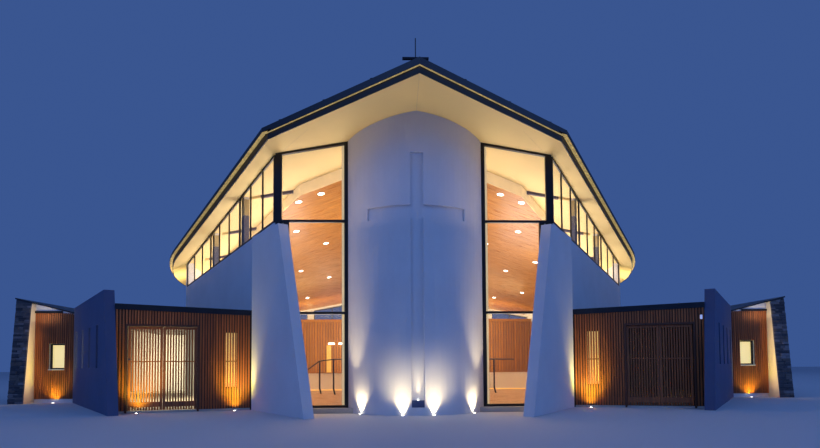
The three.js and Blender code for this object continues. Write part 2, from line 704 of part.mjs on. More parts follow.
// Everything that stands right of the axis. The left side is the same, mirrored.
function half(side) {
  const group = new THREE.Group();
  group.add(
    piece(`${side}_roof`, "roofMetal", roof()),
    piece(`${side}_soffit`, "soffit", soffitPanel()),
    piece(`${side}_ceiling`, "ceiling", ceiling()),
    piece(`${side}_apse_wall`, "render", apseSide()),
    piece(`${side}_front_frame`, "frame", frontFrame()),
    piece(`${side}_front_glass`, "glass", frontGlass()),
    piece(`${side}_fin`, "render", fin()),
    piece(`${side}_nave_wall`, "render", naveWall()),
    piece(`${side}_clerestory_frame`, "frame", clerestoryFrame()),
    piece(`${side}_clerestory_glass`, "glass", clerestoryGlass()),
    piece(`${side}_flank_wall`, "render", flankWall()),
    piece(`${side}_flank_glass`, "glass", flankGlass()),
    piece(`${side}_screen`, "timber", screen()),
    piece(`${side}_screen_pane`, "glass", screenPane()),
    piece(`${side}_screen_head`, "timber", screenHead()),
    piece(`${side}_screen_end`, "timber", screenEnd()),
    gate(side),
    piece(`${side}_blade_wall`, "greyRender", blade()),
    piece(`${side}_side_wall`, "timber", sideWall()),
    piece(`${side}_side_pane`, "glass", sidePane()),
    piece(`${side}_stone_wall`, "stone", stoneWall()),
    piece(`${side}_wing_back_wall`, "render", wingBackWall()),
    piece(`${side}_wing_roof`, "roofMetal", wingRoof()),
    piece(`${side}_wing_floor`, "concrete", wingFloor()),
  );
  return group;
}

const church = new THREE.Group();
const left = half("left");
left.scale.x = -1;
church.add(
  half("right"),
  left,
  piece("ridge_cap", "roofMetal", ridgeCap()),
  piece("apse_cross_wall", "render", apseCentre()),
  piece("nave_floor", "concrete", naveFloor()),
  piece("rear_wall", "render", rearWall()),
  piece("rear_glass", "glass", rearGlass()),
  piece("low_wall", "render", lowWall()),
);
for (const child of church.children) {
  child.position.y = -(ROOF_TIP_Y + REAR_WALL_Y + REAR_OVERHANG) / 2;
}

export default church;
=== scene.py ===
"""Looks of the modern church: finishes, slatted timber, split stone, roof seams, lamps and the camera.

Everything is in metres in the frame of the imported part: +X to the right of someone facing the front, +Y to
the back. Plans are drawn from the front glazing, as the part's own source does, and place() moves them there.
"""

from math import atan2, cos, pi, radians, sin, tan
from random import Random

import bmesh
import bpy
from mathutils import Matrix, Vector


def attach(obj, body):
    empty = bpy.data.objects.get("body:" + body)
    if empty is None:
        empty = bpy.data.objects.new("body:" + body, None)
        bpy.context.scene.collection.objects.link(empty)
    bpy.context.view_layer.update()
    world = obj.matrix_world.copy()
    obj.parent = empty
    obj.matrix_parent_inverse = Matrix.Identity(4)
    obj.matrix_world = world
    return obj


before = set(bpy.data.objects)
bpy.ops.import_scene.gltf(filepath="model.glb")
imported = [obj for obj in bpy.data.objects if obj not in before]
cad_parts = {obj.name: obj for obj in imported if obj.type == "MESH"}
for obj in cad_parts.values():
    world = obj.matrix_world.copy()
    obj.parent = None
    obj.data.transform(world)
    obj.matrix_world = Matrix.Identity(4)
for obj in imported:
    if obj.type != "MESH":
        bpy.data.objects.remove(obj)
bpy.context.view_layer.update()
BODY = "building"

# Driving dimensions, the same as in the part's source
FRONT_Y = -10.165  # of the front glazing in the frame
RIDGE_SOFFIT = 6.984
CROSS_FALL = 0.175
BACK_FALL = 0.042
BAND = 0.150
ROOF_TIP_Y = -2.620
ROOF_KNEE = (3.590, -0.770)
FRONT_HEADING = atan2(ROOF_KNEE[1] - ROOF_TIP_Y, ROOF_KNEE[0])
EAVE_ANGLE = radians(32.4)
EAVE_RADIUS = 9.000
EAVE_X = 9.950
ROOF_REAR_Y = 22.950
SIDE_BAND = 0.100
LOWER_STEP = {"front": 0.055, "side": 0.110}
CEILING = {"drop": 0.330, "front": 2.845, "side": 1.940}
REAR_WALL_FACE = 22.050
NAVE_FLOOR = 0.120
WING_START = (4.280, 1.160)
WING_HEADING = radians(-15.5)
WING_END = 3.225  # where the slatted front meets the blade wall
CORNER = (3.430, 0.0)  # where the splayed high windows start
SPLAY = radians(31.7)
GATE = {"from": 1.330, "to": 2.950, "head": 2.150}
SCREEN_WINDOW = {"from": 0.340, "to": 0.667, "sill": 0.590, "head": 2.040}
LOW_ROOF = {"bottom": 2.472, "rise": 0.031}
SIDE_WALL = {"y": 4.830, "from": 10.710, "to": 12.122}
SIDE_WINDOW = {"from": 11.180, "to": 11.670, "sill": 1.080, "head": 1.910}
SIDE_ROOF = {"bottom": 2.910, "from": 11.000, "slope": 0.26}
STONE = {"inner": 12.130, "outer": 12.610, "front": 4.300, "rake": 0.10, "back": 12.000}

# Camera: the photograph's own viewpoint, with its frame of 820 by 448 pixels
IMAGE_WIDTH = 820
FOCAL_PIXELS = 560.1
PRINCIPAL_BELOW_CENTRE = 116.9
EYE = (-0.618, -13.700, 1.150)
YAW = radians(1.98)
PITCH = radians(2.45)
ROLL = radians(-0.37)
DUSK_BLUE = (0.15, 0.33, 1.0)
DUSK_STRENGTH = 0.28


def place(x, y, z):
    """A point given from the front glazing, in the frame."""
    return Vector((x, y + FRONT_Y, z))


def soffit(x, y):
    return RIDGE_SOFFIT - CROSS_FALL * abs(x) - BACK_FALL * y


# Meshes


def add_object(name, data):
    made = bpy.data.objects.new(name, data)
    bpy.context.scene.collection.objects.link(made)
    return made


def mesh_object(name, bm, material):
    mesh = bpy.data.meshes.new(name)
    bm.to_mesh(mesh)
    bm.free()
    mesh.materials.append(material)
    return add_object(name, mesh)


def new_piece(name, bm, material, slot, body=BODY):
    bmesh.ops.recalc_face_normals(bm, faces=bm.faces)
    piece = mesh_object(name, bm, material)
    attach(piece, body)
    return piece


def prism(bm, bottom, top):
    """A closed solid between two outlines with the same number of corners."""
    low = [bm.verts.new(point) for point in bottom]
    high = [bm.verts.new(point) for point in top]
    bm.faces.new(low[::-1])
    bm.faces.new(high)
    count = len(low)
    for i in range(count):
        j = (i + 1) % count
        bm.faces.new((low[i], low[j], high[j], high[i]))


def plate(bm, sign, ring, low, high):
    """A solid over a ring in plan, mirrored by the sign. low and high give heights from x and y."""
    bottom = [place(sign * x, y, low(x, y)) for x, y in ring]
    top = [place(sign * x, y, high(x, y)) for x, y in ring]
    prism(bm, bottom, top)


def rectangle(x0, x1, y0, y1):
    return [(x0, y0), (x1, y0), (x1, y1), (x0, y1)]


def circle(middle, radius, sides):
    turns = [2 * pi * i / sides for i in range(sides)]
    return [(middle[0] + radius * cos(turn), middle[1] + radius * sin(turn)) for turn in turns]


def over_soffit(rise):
    """Height over the plane of the soffit, as a function of x and y."""
    return lambda x, y: soffit(x, y) + rise


def flat(height):
    """The same height everywhere."""
    return lambda *where: height


def drawn_in(ends):
    """A stretch that ends just short of both its ends."""
    return ends[0] + SINK, ends[1] - SINK


def bevel(piece, width, segments=1):
    modifier = piece.modifiers.new("edges", "BEVEL")
    modifier.width = width
    modifier.segments = segments
    modifier.limit_method = "ANGLE"


class WallLine:
    """A straight wall in plan, measured along its outer face and inwards from it."""

    def __init__(self, start, heading, sign):
        self.start = start
        self.along = (cos(heading), sin(heading))
        self.into = (-sin(heading), cos(heading))
        self.sign = sign

    def point(self, distance, depth, z):
        x = self.start[0] + self.along[0] * distance + self.into[0] * depth
        y = self.start[1] + self.along[1] * distance + self.into[1] * depth
        return place(self.sign * x, y, z)

    def block(self, bm, distances, depths, low, high):
        """A block on the wall. low and high are heights, or functions of the distance along it."""
        corners = [(s, d) for d, row in zip(depths, (distances, distances[::-1])) for s in row]
        height = [h if callable(h) else (lambda s, h=h: h) for h in (low, high)]
        prism(
            bm,
            [self.point(s, d, height[0](s)) for s, d in corners],
            [self.point(s, d, height[1](s)) for s, d in corners],
        )


def wall_piece(name, wall, rows, finish, slot):
    """A piece made of blocks on a wall, from the ends, depths and heights of each."""
    bm = bmesh.new()
    for ends, depths, heights in rows:
        wall.block(bm, ends, depths, *heights)
    return new_piece(name, bm, finish, slot)


# Materials

BOARD_WIDTH = 0.14
BOARD_JOINT = 0.006


def material(name, colour, roughness=0.6, metallic=0.0):
    made = bpy.data.materials.new(name)
    made.use_nodes = True
    shader = made.node_tree.nodes["Principled BSDF"]
    shader.inputs["Base Color"].default_value = (*colour, 1)
    shader.inputs["Roughness"].default_value = roughness
    shader.inputs["Metallic"].default_value = metallic
    return made


class Shader:
    """Adds texture nodes to a material's principled shader."""

    def __init__(self, made):
        self.tree = made.node_tree
        self.principled = self.tree.nodes["Principled BSDF"]
        self.coordinates = self.add("ShaderNodeTexCoord").outputs["Object"]

    def add(self, kind, inputs=(), **settings):
        """A node with its settings. inputs holds a link or a value for each socket it names."""
        node = self.tree.nodes.new(kind)
        for key, value in settings.items():
            setattr(node, key, value)
        for key, value in dict(inputs).items():
            socket = node.inputs[key]
            if isinstance(value, bpy.types.NodeSocket):
                self.tree.links.new(value, socket)
            else:
                socket.default_value = (*value, 1) if socket.type == "RGBA" else value
        return node

    def drive(self, socket, output):
        self.tree.links.new(output, self.principled.inputs[socket])

    def noise(self, scale, detail, stretch=(1, 1, 1)):
        mapping = self.add("ShaderNodeMapping", {"Vector": self.coordinates, "Scale": stretch})
        inputs = {"Vector": mapping.outputs["Vector"], "Scale": scale, "Detail": detail}
        return self.add("ShaderNodeTexNoise", inputs).outputs["Fac"]

    def ramp(self, value, stops):
        node = self.add("ShaderNodeValToRGB", {"Fac": value})
        ramp = node.color_ramp
        while len(ramp.elements) < len(stops):
            ramp.elements.new(0.5)
        for element, (position, colour) in zip(ramp.elements, stops):
            element.position = position
            element.color = (*colour, 1)
        return node.outputs["Color"]

    def mottled(self, colour, mottling, scale, detail):
        """The colour, with darker clouds in it."""
        dark = tuple(c * (1 - mottling) for c in colour)
        return self.ramp(self.noise(scale, detail), [(0.35, dark), (0.65, colour)])

    def mix(self, factor, first, second, blend="MIX"):
        inputs = {0: factor, 6: first, 7: second}
        return self.add("ShaderNodeMix", inputs, data_type="RGBA", blend_type=blend).outputs[2]

    def math(self, operation, *values):
        return self.add("ShaderNodeMath", enumerate(values), operation=operation).outputs["Value"]

    def roughness(self, value, low, high):
        node = self.add("ShaderNodeMapRange", {"Value": value, "To Min": low, "To Max": high})
        self.drive("Roughness", node.outputs["Result"])

    def bump(self, value, height, strength):
        node = self.add("ShaderNodeBump", {"Height": value, "Distance": height, "Strength": strength})
        self.drive("Normal", node.outputs["Normal"])


def plaster(name, colour, mottling=0.05):
    made = material(name, colour, 0.85)
    shader = Shader(made)
    shader.drive("Base Color", shader.mottled(colour, mottling, 1.3, 6))
    shader.bump(shader.noise(60, 8), 0.002, 0.35)
    return made


def timber(name, dark, light):
    """Battens: each has its own shade, with upright grain."""
    made = material(name, light, 0.55)
    shader = Shader(made)
    grain = shader.noise(2.2, 6, (14, 14, 0.6))
    colour = shader.ramp(grain, [(0.3, dark), (0.7, light)])
    island = shader.add("ShaderNodeNewGeometry").outputs["Random Per Island"]
    shade = shader.ramp(island, [(0.0, (0.72, 0.72, 0.72)), (1.0, (1.0, 1.0, 1.0))])
    shader.drive("Base Color", shader.mix(1.0, colour, shade, "MULTIPLY"))
    shader.roughness(grain, 0.45, 0.7)
    shader.bump(grain, 0.001, 0.4)
    return made


def painted_metal(name, colour, roughness=0.4, metallic=0.4):
    made = material(name, colour, roughness, metallic)
    shader = Shader(made)
    cloud = shader.noise(3, 5)
    light = tuple(c * 1.35 for c in colour)
    shader.drive("Base Color", shader.ramp(cloud, [(0.35, colour), (0.7, light)]))
    shader.roughness(cloud, roughness - 0.08, roughness + 0.12)
    return made


def split_stone():
    made = material("split_stone", (0.2, 0.18, 0.17), 0.9)
    shader = Shader(made)
    island = shader.add("ShaderNodeNewGeometry").outputs["Random Per Island"]
    dark = [(0.0, (0.05, 0.052, 0.065)), (0.35, (0.1, 0.105, 0.13))]
    tone = shader.ramp(island, dark + [(0.6, (0.16, 0.14, 0.13)), (1.0, (0.26, 0.26, 0.29))])
    streak = shader.ramp(shader.noise(9, 8, (1, 1, 4)), [(0.3, (0.6, 0.6, 0.6)), (0.7, (1.0, 1.0, 1.0))])
    shader.drive("Base Color", shader.mix(1.0, tone, streak, "MULTIPLY"))
    shader.bump(shader.noise(30, 8, (1, 1, 3)), 0.006, 0.8)
    return made


def window_glass():
    made = material("window_glass", (0.25, 0.3, 0.35), 0.02)
    shader = made.node_tree.nodes["Principled BSDF"]
    shader.inputs["Alpha"].default_value = 0.1
    shader.inputs["Specular IOR Level"].default_value = 0.6
    return made


def glowing(name, colour, strength, mottling=0.06, scale=5):
    """A lit surface, a little uneven in brightness."""
    made = material(name, colour, 0.5)
    shader = Shader(made)
    tone = shader.mottled(colour, mottling, scale, 5)
    shader.drive("Base Color", tone)
    shader.drive("Emission Color", tone)
    shader.principled.inputs["Emission Strength"].default_value = strength
    return made


def boarded(name, dark, light, joint_colour, width=BOARD_WIDTH):
    """Boards that run parallel to the prow's front edges, with a fine dark joint between them."""
    made = material(name, light, 0.45)
    shader = Shader(made)
    parts = shader.add("ShaderNodeSeparateXYZ", {"Vector": shader.coordinates}).outputs
    side = shader.math("ABSOLUTE", parts["X"])

    def turned(operation, y_share, side_share):
        back = shader.math("MULTIPLY", parts["Y"], y_share)
        return shader.math(operation, back, shader.math("MULTIPLY", side, side_share))

    across = turned("SUBTRACT", cos(FRONT_HEADING), sin(FRONT_HEADING))
    along = turned("ADD", sin(FRONT_HEADING), cos(FRONT_HEADING))
    lengthwise = shader.add("ShaderNodeCombineXYZ", {"X": along, "Y": across})
    shader.coordinates = lengthwise.outputs["Vector"]
    grain = shader.noise(2.0, 6, (0.7, 14, 1))
    wood = shader.ramp(grain, [(0.3, dark), (0.7, light)])
    board = shader.math("FLOOR", shader.math("DIVIDE", across, width))
    shade = shader.add("ShaderNodeTexWhiteNoise", {"W": board}, noise_dimensions="1D")
    tint = shader.ramp(shade.outputs["Value"], [(0.0, (0.82, 0.8, 0.78)), (1.0, (1.0, 1.0, 1.0))])
    cell = shader.math("PINGPONG", across, width / 2)
    joint = shader.math("LESS_THAN", cell, BOARD_JOINT)
    shader.drive("Base Color", shader.mix(joint, shader.mix(1.0, wood, tint, "MULTIPLY"), joint_colour))
    shader.roughness(grain, 0.2, 0.38)
    shader.bump(shader.math("GREATER_THAN", cell, BOARD_JOINT), 0.004, 0.6)
    return made


WHITE_RENDER = plaster("white_render", (0.74, 0.75, 0.79))
GREY_RENDER = plaster("grey_render", (0.085, 0.115, 0.225), 0.1)
CREAM_BOARD = plaster("cream_board", (0.87, 0.69, 0.32), 0.03)
WARM_PLASTER = plaster("warm_plaster", (0.82, 0.74, 0.6), 0.04)
CONCRETE = plaster("concrete", (0.52, 0.5, 0.47), 0.12)
ROOF_METAL = painted_metal("roof_metal", (0.018, 0.021, 0.03), 0.42)
DARK_FRAME = painted_metal("dark_frame", (0.012, 0.012, 0.015), 0.38)
BATTEN_TIMBER = timber("batten_timber", (0.27, 0.072, 0.02), (0.58, 0.175, 0.048))
GATE_TIMBER = timber("gate_timber", (0.25, 0.07, 0.022), (0.52, 0.155, 0.048))
PALE_JOINT = plaster("pale_joint", (0.62, 0.52, 0.34), 0.03)
DARK_TIMBER = timber("dark_timber", (0.08, 0.027, 0.013), (0.16, 0.055, 0.027))
BACKING = timber("backing", (0.02, 0.011, 0.006), (0.045, 0.023, 0.012))
LINING_TIMBER = timber("lining_timber", (0.27, 0.1, 0.004), (0.45, 0.18, 0.008))
# The ceiling's edge face glows faintly: painted light
CEILING_EDGE_GLOW = glowing("glowing_ceiling_edge", (0.96, 0.76, 0.44), 0.35)
# The piers' painted shade below and painted warm light above
PIER_FOOT_SHADE = plaster("pier_foot_shade", (0.13, 0.135, 0.19), 0.1)
PIER_HEAD_LIGHT = plaster("pier_head_light", (0.5, 0.4, 0.2), 0.08)
CEILING_TIMBER = boarded("ceiling_timber", (0.36, 0.14, 0.012), (0.61, 0.27, 0.03), (0.1, 0.035, 0.01))
FLOOR_TIMBER = boarded("floor_timber", (0.4, 0.2, 0.08), (0.6, 0.34, 0.16), (0.2, 0.1, 0.04), 0.12)
STONE_FACE = split_stone()
GLASS = window_glass()
LAMP = glowing("lamp", (1.0, 0.93, 0.8), 12.0)
WALL_LAMP = glowing("wall_lamp", (0.5, 0.62, 1.0), 0.5)
# The blinds glow: painted light from behind them
WINDOW_BLIND = glowing("window_blind", (1.0, 0.8, 0.36), 0.95)
SCREEN_BLIND = glowing("screen_blind", (1.0, 0.7, 0.28), 0.6)
EDGE_BLACK = painted_metal("edge_black", (0.004, 0.004, 0.005), 0.5, 0.1)
# The strip under the roof's edge glows: painted warm light from below
EDGE_STRIP_GLOW = glowing("glowing_edge_strip", (0.7, 0.51, 0.19), 0.5, 0.35, 9)
PALE_TRIM = plaster("pale_trim", (0.8, 0.8, 0.82), 0.03)
COVE_GLOW = glowing("cove_glow", (1.0, 0.8, 0.45), 7.0)
# The pale panel on the back wall glows faintly: painted light
GLOWING_PANEL = glowing("glowing_panel", (0.6, 0.43, 0.1), 0.12)
FOOT_GLOW = glowing("foot_glow", (0.9, 0.55, 0.15), 0.7)
# Glowing sheets on the inner jambs: painted warm light
JAMB_GLOW = glowing("jamb_face", (0.9, 0.72, 0.4), 0.55)
LINING_BACK = timber("lining_back", (0.14, 0.055, 0.018), (0.24, 0.1, 0.035))
TRACK_END = painted_metal("track_end", (0.07, 0.055, 0.08), 0.5, 0.1)
STEEL = painted_metal("rail_steel", (0.1, 0.1, 0.11), 0.35, 0.9)

# Details
SINK = 0.002  # how far a piece sinks into what carries it
TOUCH = 0.001
ARC_STEPS = 10
STRIP = {"depth": 0.006, "inset": 0.012}
EDGE_FACE = 0.003
SEAM = {"pitch": 0.55, "width": 0.022, "height": 0.03, "least": 0.15}
SEAM_ENDS = {"ridge": 0.09, "eave": 0.04, "rear": 0.1}
RIDGE_ROLL = {"start": 0.6, "half": 0.11, "crown": 0.03, "heights": (0.003, 0.012, 0.034)}
JOINT = 0.003
JOINT_DEPTH = 0.002
RIDGE_JOINT = (ROOF_TIP_Y + 0.1, -0.85)
SOFFIT_SEAM = ((2.50, -0.95), (3.25, -0.04))
SLAT = {"pitch": 0.067, "width": 0.042, "proud": 0.03, "round": 0.003}
POST = 0.05
POST_DEPTHS = (-0.034, SINK)
POST_FOOT = 0.02
PLINTH_DEPTHS = (-0.02, SINK)
HEAD_BAR = 0.05
SLAT_FOOT = 0.06
SCREEN_RAILS = ((0.14, 0.27), (1.262, 1.288))
RAIL_DEPTHS = (-0.012, SINK)
BESIDE_GATE = ((0.03, GATE["from"] - POST), (GATE["to"] + POST, WING_END))
SIDE_SLATS = (0.125, 2.9)
SIDE_FASCIA = 2.97
SIDE_SILL = {"gap": 0.03, "bottom": 0.028, "top": 0.004, "over": 0.01, "depths": (-0.045, 0.07)}
SOFT_EDGE = (0.004, 2)
SIDE_FRAME = {"depths": (0.07, 0.125), "width": 0.045}
SIDE_BLIND_DEPTHS = (0.16, 0.17)
SCREEN_FRAME = {"depths": (0.003, 0.05), "width": 0.025}
SCREEN_BLIND_DEPTHS = (0.09, 0.1)
STONES = {"courses": (0.038, 0.095), "lengths": (0.14, 0.5), "end_lengths": (0.1, 0.34), "joint": 0.003}
STONE_FACES = {"proud": (0.008, 0.024), "drawn_in": (0.004, 0.009), "uneven": (-0.004, 0.003)}
STONE_SEED = {"right": 5, "left": 9}
ROOF_GAP = 0.01  # between the roof and what ends under or beside it
DOWNLIGHTS = (
    (2.6, 2.33), (3.3, 2.69), (3.83, 5.45), (3.06, 7.56), (5.34, 9.0),
    (4.6, 11.3), (3.6, 13.6), (6.3, 15.4), (5.3, 18.0),
)
# Name, radius, lowest and highest height over the ceiling, finish and slot
DOWNLIGHT_PARTS = (
    ("downlight_rims", 0.105, -0.008, TOUCH, PALE_TRIM, "cream_board"),
    ("downlight_lenses", 0.088, -0.012, -0.004, LAMP, "glass"),
)
# Place along the nave, and how far from its axis each track ends, turns pale and starts
TRACKS = ((2.55, (3.45, 4.38, 4.9)), (5.3, (5.05, 6.08, 6.3)), (8.0, (6.7, 7.6, 7.75)))
TRACK = {"width": 0.09, "depth": 0.075}
REAR_LINING = {"half": 8.4, "slat": 0.11, "pitch": 0.17, "heights": (0.64, 3.9), "start": 0.02}
REAR_SHELF = {"out": -0.2, "lip": -0.17, "thickness": 0.04, "top": 0.16}
REAR_LAMPS = {"at": (-4.37, -3.72), "half": 0.19, "depths": (-0.16, -0.09), "heights": (2.49, 2.56)}
REAR_PANEL = ((-4.67, -4.39), (-0.14, -0.09), (0.64, 2.42))  # ends, depths and heights
BOARDS = {"front": ((0, 0.26), (3.2, 0.26), (8.0, 8.0), (8.95, 11.2)), "thickness": 0.01}
FLOOR_TOP = NAVE_FLOOR + 0.012
JAMB = {"from": 1.70, "to": 1.814, "y": 0.1024}
LOW_WALL = {"half": 5.0, "y": 9.3, "top": 0.83, "thickness": 0.15, "cap": 0.03, "over": 0.02}
HANDRAILS = {
    "left_handrail": ((-1.9, 5.2, 1.36), (-2.61, 5.92, 1.36), (-3.19, 6.69, 1.31), (-3.9, 7.7, 0.9)),
    "right_handrail": ((1.9, 5.5, 1.34), (3.1, 6.38, 1.34), (4.0, 7.2, 1.34)),
}
RAIL_RADIUS = 0.022
RAIL_POST = {"radius": 0.03, "kick": 0.2, "foot": (0.05, -0.02, 0.005)}
LOCK = {"from_edge": 0.042, "height": 1.33, "radius": 0.024, "depths": (0.018, 0.002)}
WING_LAMP = ((3.115, 3.165), (-0.08, -0.03), (2.27, 2.38))
WING_LAMP_CAP = ((3.105, 3.175), (-0.09, -0.02), (2.38, 2.392))
CROSS_FOOT = {"half": 0.146, "front": -0.975, "back": -0.943, "heights": (0.182, 0.345), "lamp": 0.014}
PIERS = {"middles": (2.96, 6.2), "half": 0.129, "depths": (0.106, 0.255)}
# Painted shading of the piers: shade below and warm light above, by share of the height
PIER_SHADING = (("foot", (0.0, 0.66), PIER_FOOT_SHADE), ("head", (0.662, 0.98), PIER_HEAD_LIGHT))
SILL_FRONT = 4.680
SILL_FALL = 0.0561
WINDOW_BAR = 0.05
FLANK_DEPTHS = (8.620, 8.680)
FLANK_WINDOWS = {"count": 3, "first": 11.600, "width": 2.900, "pitch": 3.300, "wall": 8.740}
REAR_DEPTHS = (REAR_WALL_FACE + 0.13, REAR_WALL_FACE + 0.19)
REAR_WINDOWS = {"count": 3, "first": 0.500, "width": 2.300, "pitch": 2.700, "sill": 3.930, "head": 0.430}

# The uplights in the ground: place, energy, how far the beam leans over its height, its cone in degrees, and
# the energy of the wash on the slats beside it. The fourth stands on the left only.
BEAM_HEIGHT = 2.5
UPLIGHTS = (
    ((0.355, -1.015), 78, (0.0, 0.3), 84, 0),
    ((1.345, -0.5), 150, (-0.17, 0.22), 84, 0),
    ((4.62, 0.86), 30, (0.1, 0.25), 130, 105),
    ((6.83, 0.25), 34, (-0.1, 0.25), 130, 105),
    ((11.42, 4.66), 60, (0.0, 0.2), 120, 12),
)
LEFT_ONLY = UPLIGHTS[3]

# The finish of each node, by its name without its side
NODES_BY_FINISH = (
    (ROOF_METAL, ("roof", "wing_roof", "ridge_cap")),
    (CREAM_BOARD, ("soffit",)),
    (CEILING_TIMBER, ("ceiling",)),
    (WHITE_RENDER, ("apse_wall", "apse_cross_wall", "fin", "nave_wall", "flank_wall", "rear_wall")),
    (WHITE_RENDER, ("side_wall", "wing_back_wall")),
    (DARK_FRAME, ("front_frame", "clerestory_frame")),
    (GLASS, ("front_glass", "clerestory_glass", "flank_glass", "rear_glass", "screen_pane", "side_pane")),
    (BACKING, ("screen", "screen_head", "screen_end")),
    (GATE_TIMBER, ("gate_inner_leaf", "gate_outer_leaf")),
    (GREY_RENDER, ("blade_wall",)),
    (STONE_FACE, ("stone_wall",)),
    (CONCRETE, ("wing_floor", "nave_floor")),
    (WARM_PLASTER, ("low_wall",)),
)
NODE_FINISH = {name: finish for finish, names in NODES_BY_FINISH for name in names}
SIDES = {"right": 1, "left": -1}


def finish_nodes():
    for name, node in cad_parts.items():
        plain = name.removeprefix("left_").removeprefix("right_")
        node.data.materials.clear()
        node.data.materials.append(NODE_FINISH[plain])


# Roof


def side_line(inset):
    """Points along the side of the roof, drawn in by the inset, from the knee to the back."""
    centre_x = EAVE_X - EAVE_RADIUS
    start_x = centre_x + EAVE_RADIUS * cos(EAVE_ANGLE)
    start_y = ROOF_KNEE[1] + (start_x - ROOF_KNEE[0]) / tan(EAVE_ANGLE)
    centre_y = start_y + EAVE_RADIUS * sin(EAVE_ANGLE)
    radius = EAVE_RADIUS - inset
    points = []
    for i in range(ARC_STEPS + 1):
        angle = -EAVE_ANGLE * (1 - i / ARC_STEPS)
        points.append((centre_x + radius * cos(angle), centre_y + radius * sin(angle)))
    return points + [(EAVE_X - inset, ROOF_REAR_Y)]


def front_start(inset):
    """Where the prow's front edge, drawn in by the inset, meets the axis."""
    return ROOF_TIP_Y + inset / cos(FRONT_HEADING)


def knee(front_inset, side_inset):
    """Where the front edge and the side edge meet, each drawn in by its inset."""
    # The side edge: (x - knee) * cos - (y - knee) * sin = -inset
    level = ROOF_KNEE[0] * cos(EAVE_ANGLE) - ROOF_KNEE[1] * sin(EAVE_ANGLE) - side_inset
    base, rise = front_start(front_inset), tan(FRONT_HEADING)
    x = (level + base * sin(EAVE_ANGLE)) / (cos(EAVE_ANGLE) - rise * sin(EAVE_ANGLE))
    return x, base + x * rise


def edge_outline(front_inset, side_inset):
    return [(0, front_start(front_inset)), knee(front_inset, side_inset)] + side_line(side_inset)


def edge_strip(side, outer_insets, inner_insets, low, high):
    """A strip along the roof's edges, between two insets. low and high give heights over the soffit."""
    bm = bmesh.new()
    outer, inner = edge_outline(*outer_insets), edge_outline(*inner_insets)
    for i in range(len(outer) - 1):
        step = BAND if i == 0 else 2 * BAND - SIDE_BAND
        ring = [outer[i], outer[i + 1], inner[i + 1], inner[i]]
        plate(bm, SIDES[side], ring, over_soffit(low(step)), over_soffit(high(step)))
    return bm


def thin_face(step):
    """The insets of a thin face in front of a step, from the step's own insets."""
    outer = [step[edge] - EDGE_FACE for edge in ("front", "side")]
    return outer, [inset + EDGE_FACE + TOUCH for inset in outer]


def roof_edge_strip(side):
    """The pale board under the upper step of the roof's edge, made to glow as painted warm light from below.
    """
    outer = (STRIP["inset"], STRIP["inset"])
    inner = (LOWER_STEP["front"] + SINK, LOWER_STEP["side"] + SINK)
    bm = edge_strip(side, outer, inner, lambda step: step - STRIP["depth"], lambda step: step + TOUCH)
    new_piece(f"{side}_roof_edge_strip", bm, EDGE_STRIP_GLOW, "roof_metal")


def roof_edge_face(side):
    """The black face of the lower step."""
    high = lambda step: step - STRIP["depth"] - TOUCH
    bm = edge_strip(side, *thin_face(LOWER_STEP), flat(TOUCH), high)
    new_piece(f"{side}_roof_edge_face", bm, EDGE_BLACK, "roof_metal")


def glowing_ceiling_edge(side):
    """The cream face of the step down to the timber ceiling, with a faint glow of painted light."""
    bm = edge_strip(side, *thin_face(CEILING), flat(-CEILING["drop"] - TOUCH), flat(-TOUCH))
    new_piece(f"{side}_glowing_ceiling_edge", bm, CEILING_EDGE_GLOW, "cream_board")


def eave_x(y):
    """Half width of the roof at a place along the axis."""
    points = edge_outline(0, 0)
    for (x0, y0), (x1, y1) in zip(points, points[1:]):
        if y <= y1:
            return x0 + (x1 - x0) * (y - y0) / (y1 - y0)


def roof_seams(side):
    """Standing seams of the nave's roof, which run down from the ridge."""
    bm = bmesh.new()
    low, high = over_soffit(2 * BAND - SINK), over_soffit(2 * BAND + SEAM["height"])
    y = ROOF_TIP_Y + SEAM["pitch"]
    while y < ROOF_REAR_Y - SEAM_ENDS["rear"]:
        start, end = SEAM_ENDS["ridge"], eave_x(y) - SEAM_ENDS["eave"]
        if end - start > SEAM["least"]:
            plate(bm, SIDES[side], rectangle(start, end, y, y + SEAM["width"]), low, high)
        y += SEAM["pitch"]
    new_piece(f"{side}_roof_seams", bm, ROOF_METAL, "roof_metal")


def ridge_roll():
    """The folded sheet over the ridge, behind the flat bar."""
    bm = bmesh.new()
    half, crown = RIDGE_ROLL["half"], RIDGE_ROLL["crown"]
    foot, edge, top = RIDGE_ROLL["heights"]
    section = [(-half, foot), (-half, edge), (-crown, top), (crown, top), (half, edge), (half, foot)]
    ends = (ROOF_TIP_Y + RIDGE_ROLL["start"], ROOF_REAR_Y - ROOF_GAP)
    prism(bm, *([place(x, y, soffit(x, y) + 2 * BAND + z) for x, z in section] for y in ends))
    new_piece("ridge_roll", bm, ROOF_METAL, "roof_metal")


def soffit_joints():
    """The fine joints between the soffit's boards: on the ridge line, and from each knee to the corner."""
    (x0, y0), (x1, y1) = SOFFIT_SEAM
    slanted = [(x0, y0), (x1, y1), (x1 + JOINT, y1), (x0 + JOINT, y0)]
    joints = [("soffit_ridge_joint", 1, rectangle(-JOINT, JOINT, *RIDGE_JOINT))]
    joints += [(f"{side}_soffit_joint", sign, slanted) for side, sign in SIDES.items()]
    for name, sign, ring in joints:
        bm = bmesh.new()
        plate(bm, sign, ring, over_soffit(-JOINT_DEPTH), over_soffit(TOUCH))
        new_piece(name, bm, PALE_JOINT, "cream_board")


# Slatted timber


def wing_line(side):
    return WallLine(WING_START, WING_HEADING, SIDES[side])


def low_roof(distance):
    return LOW_ROOF["bottom"] + LOW_ROOF["rise"] * distance


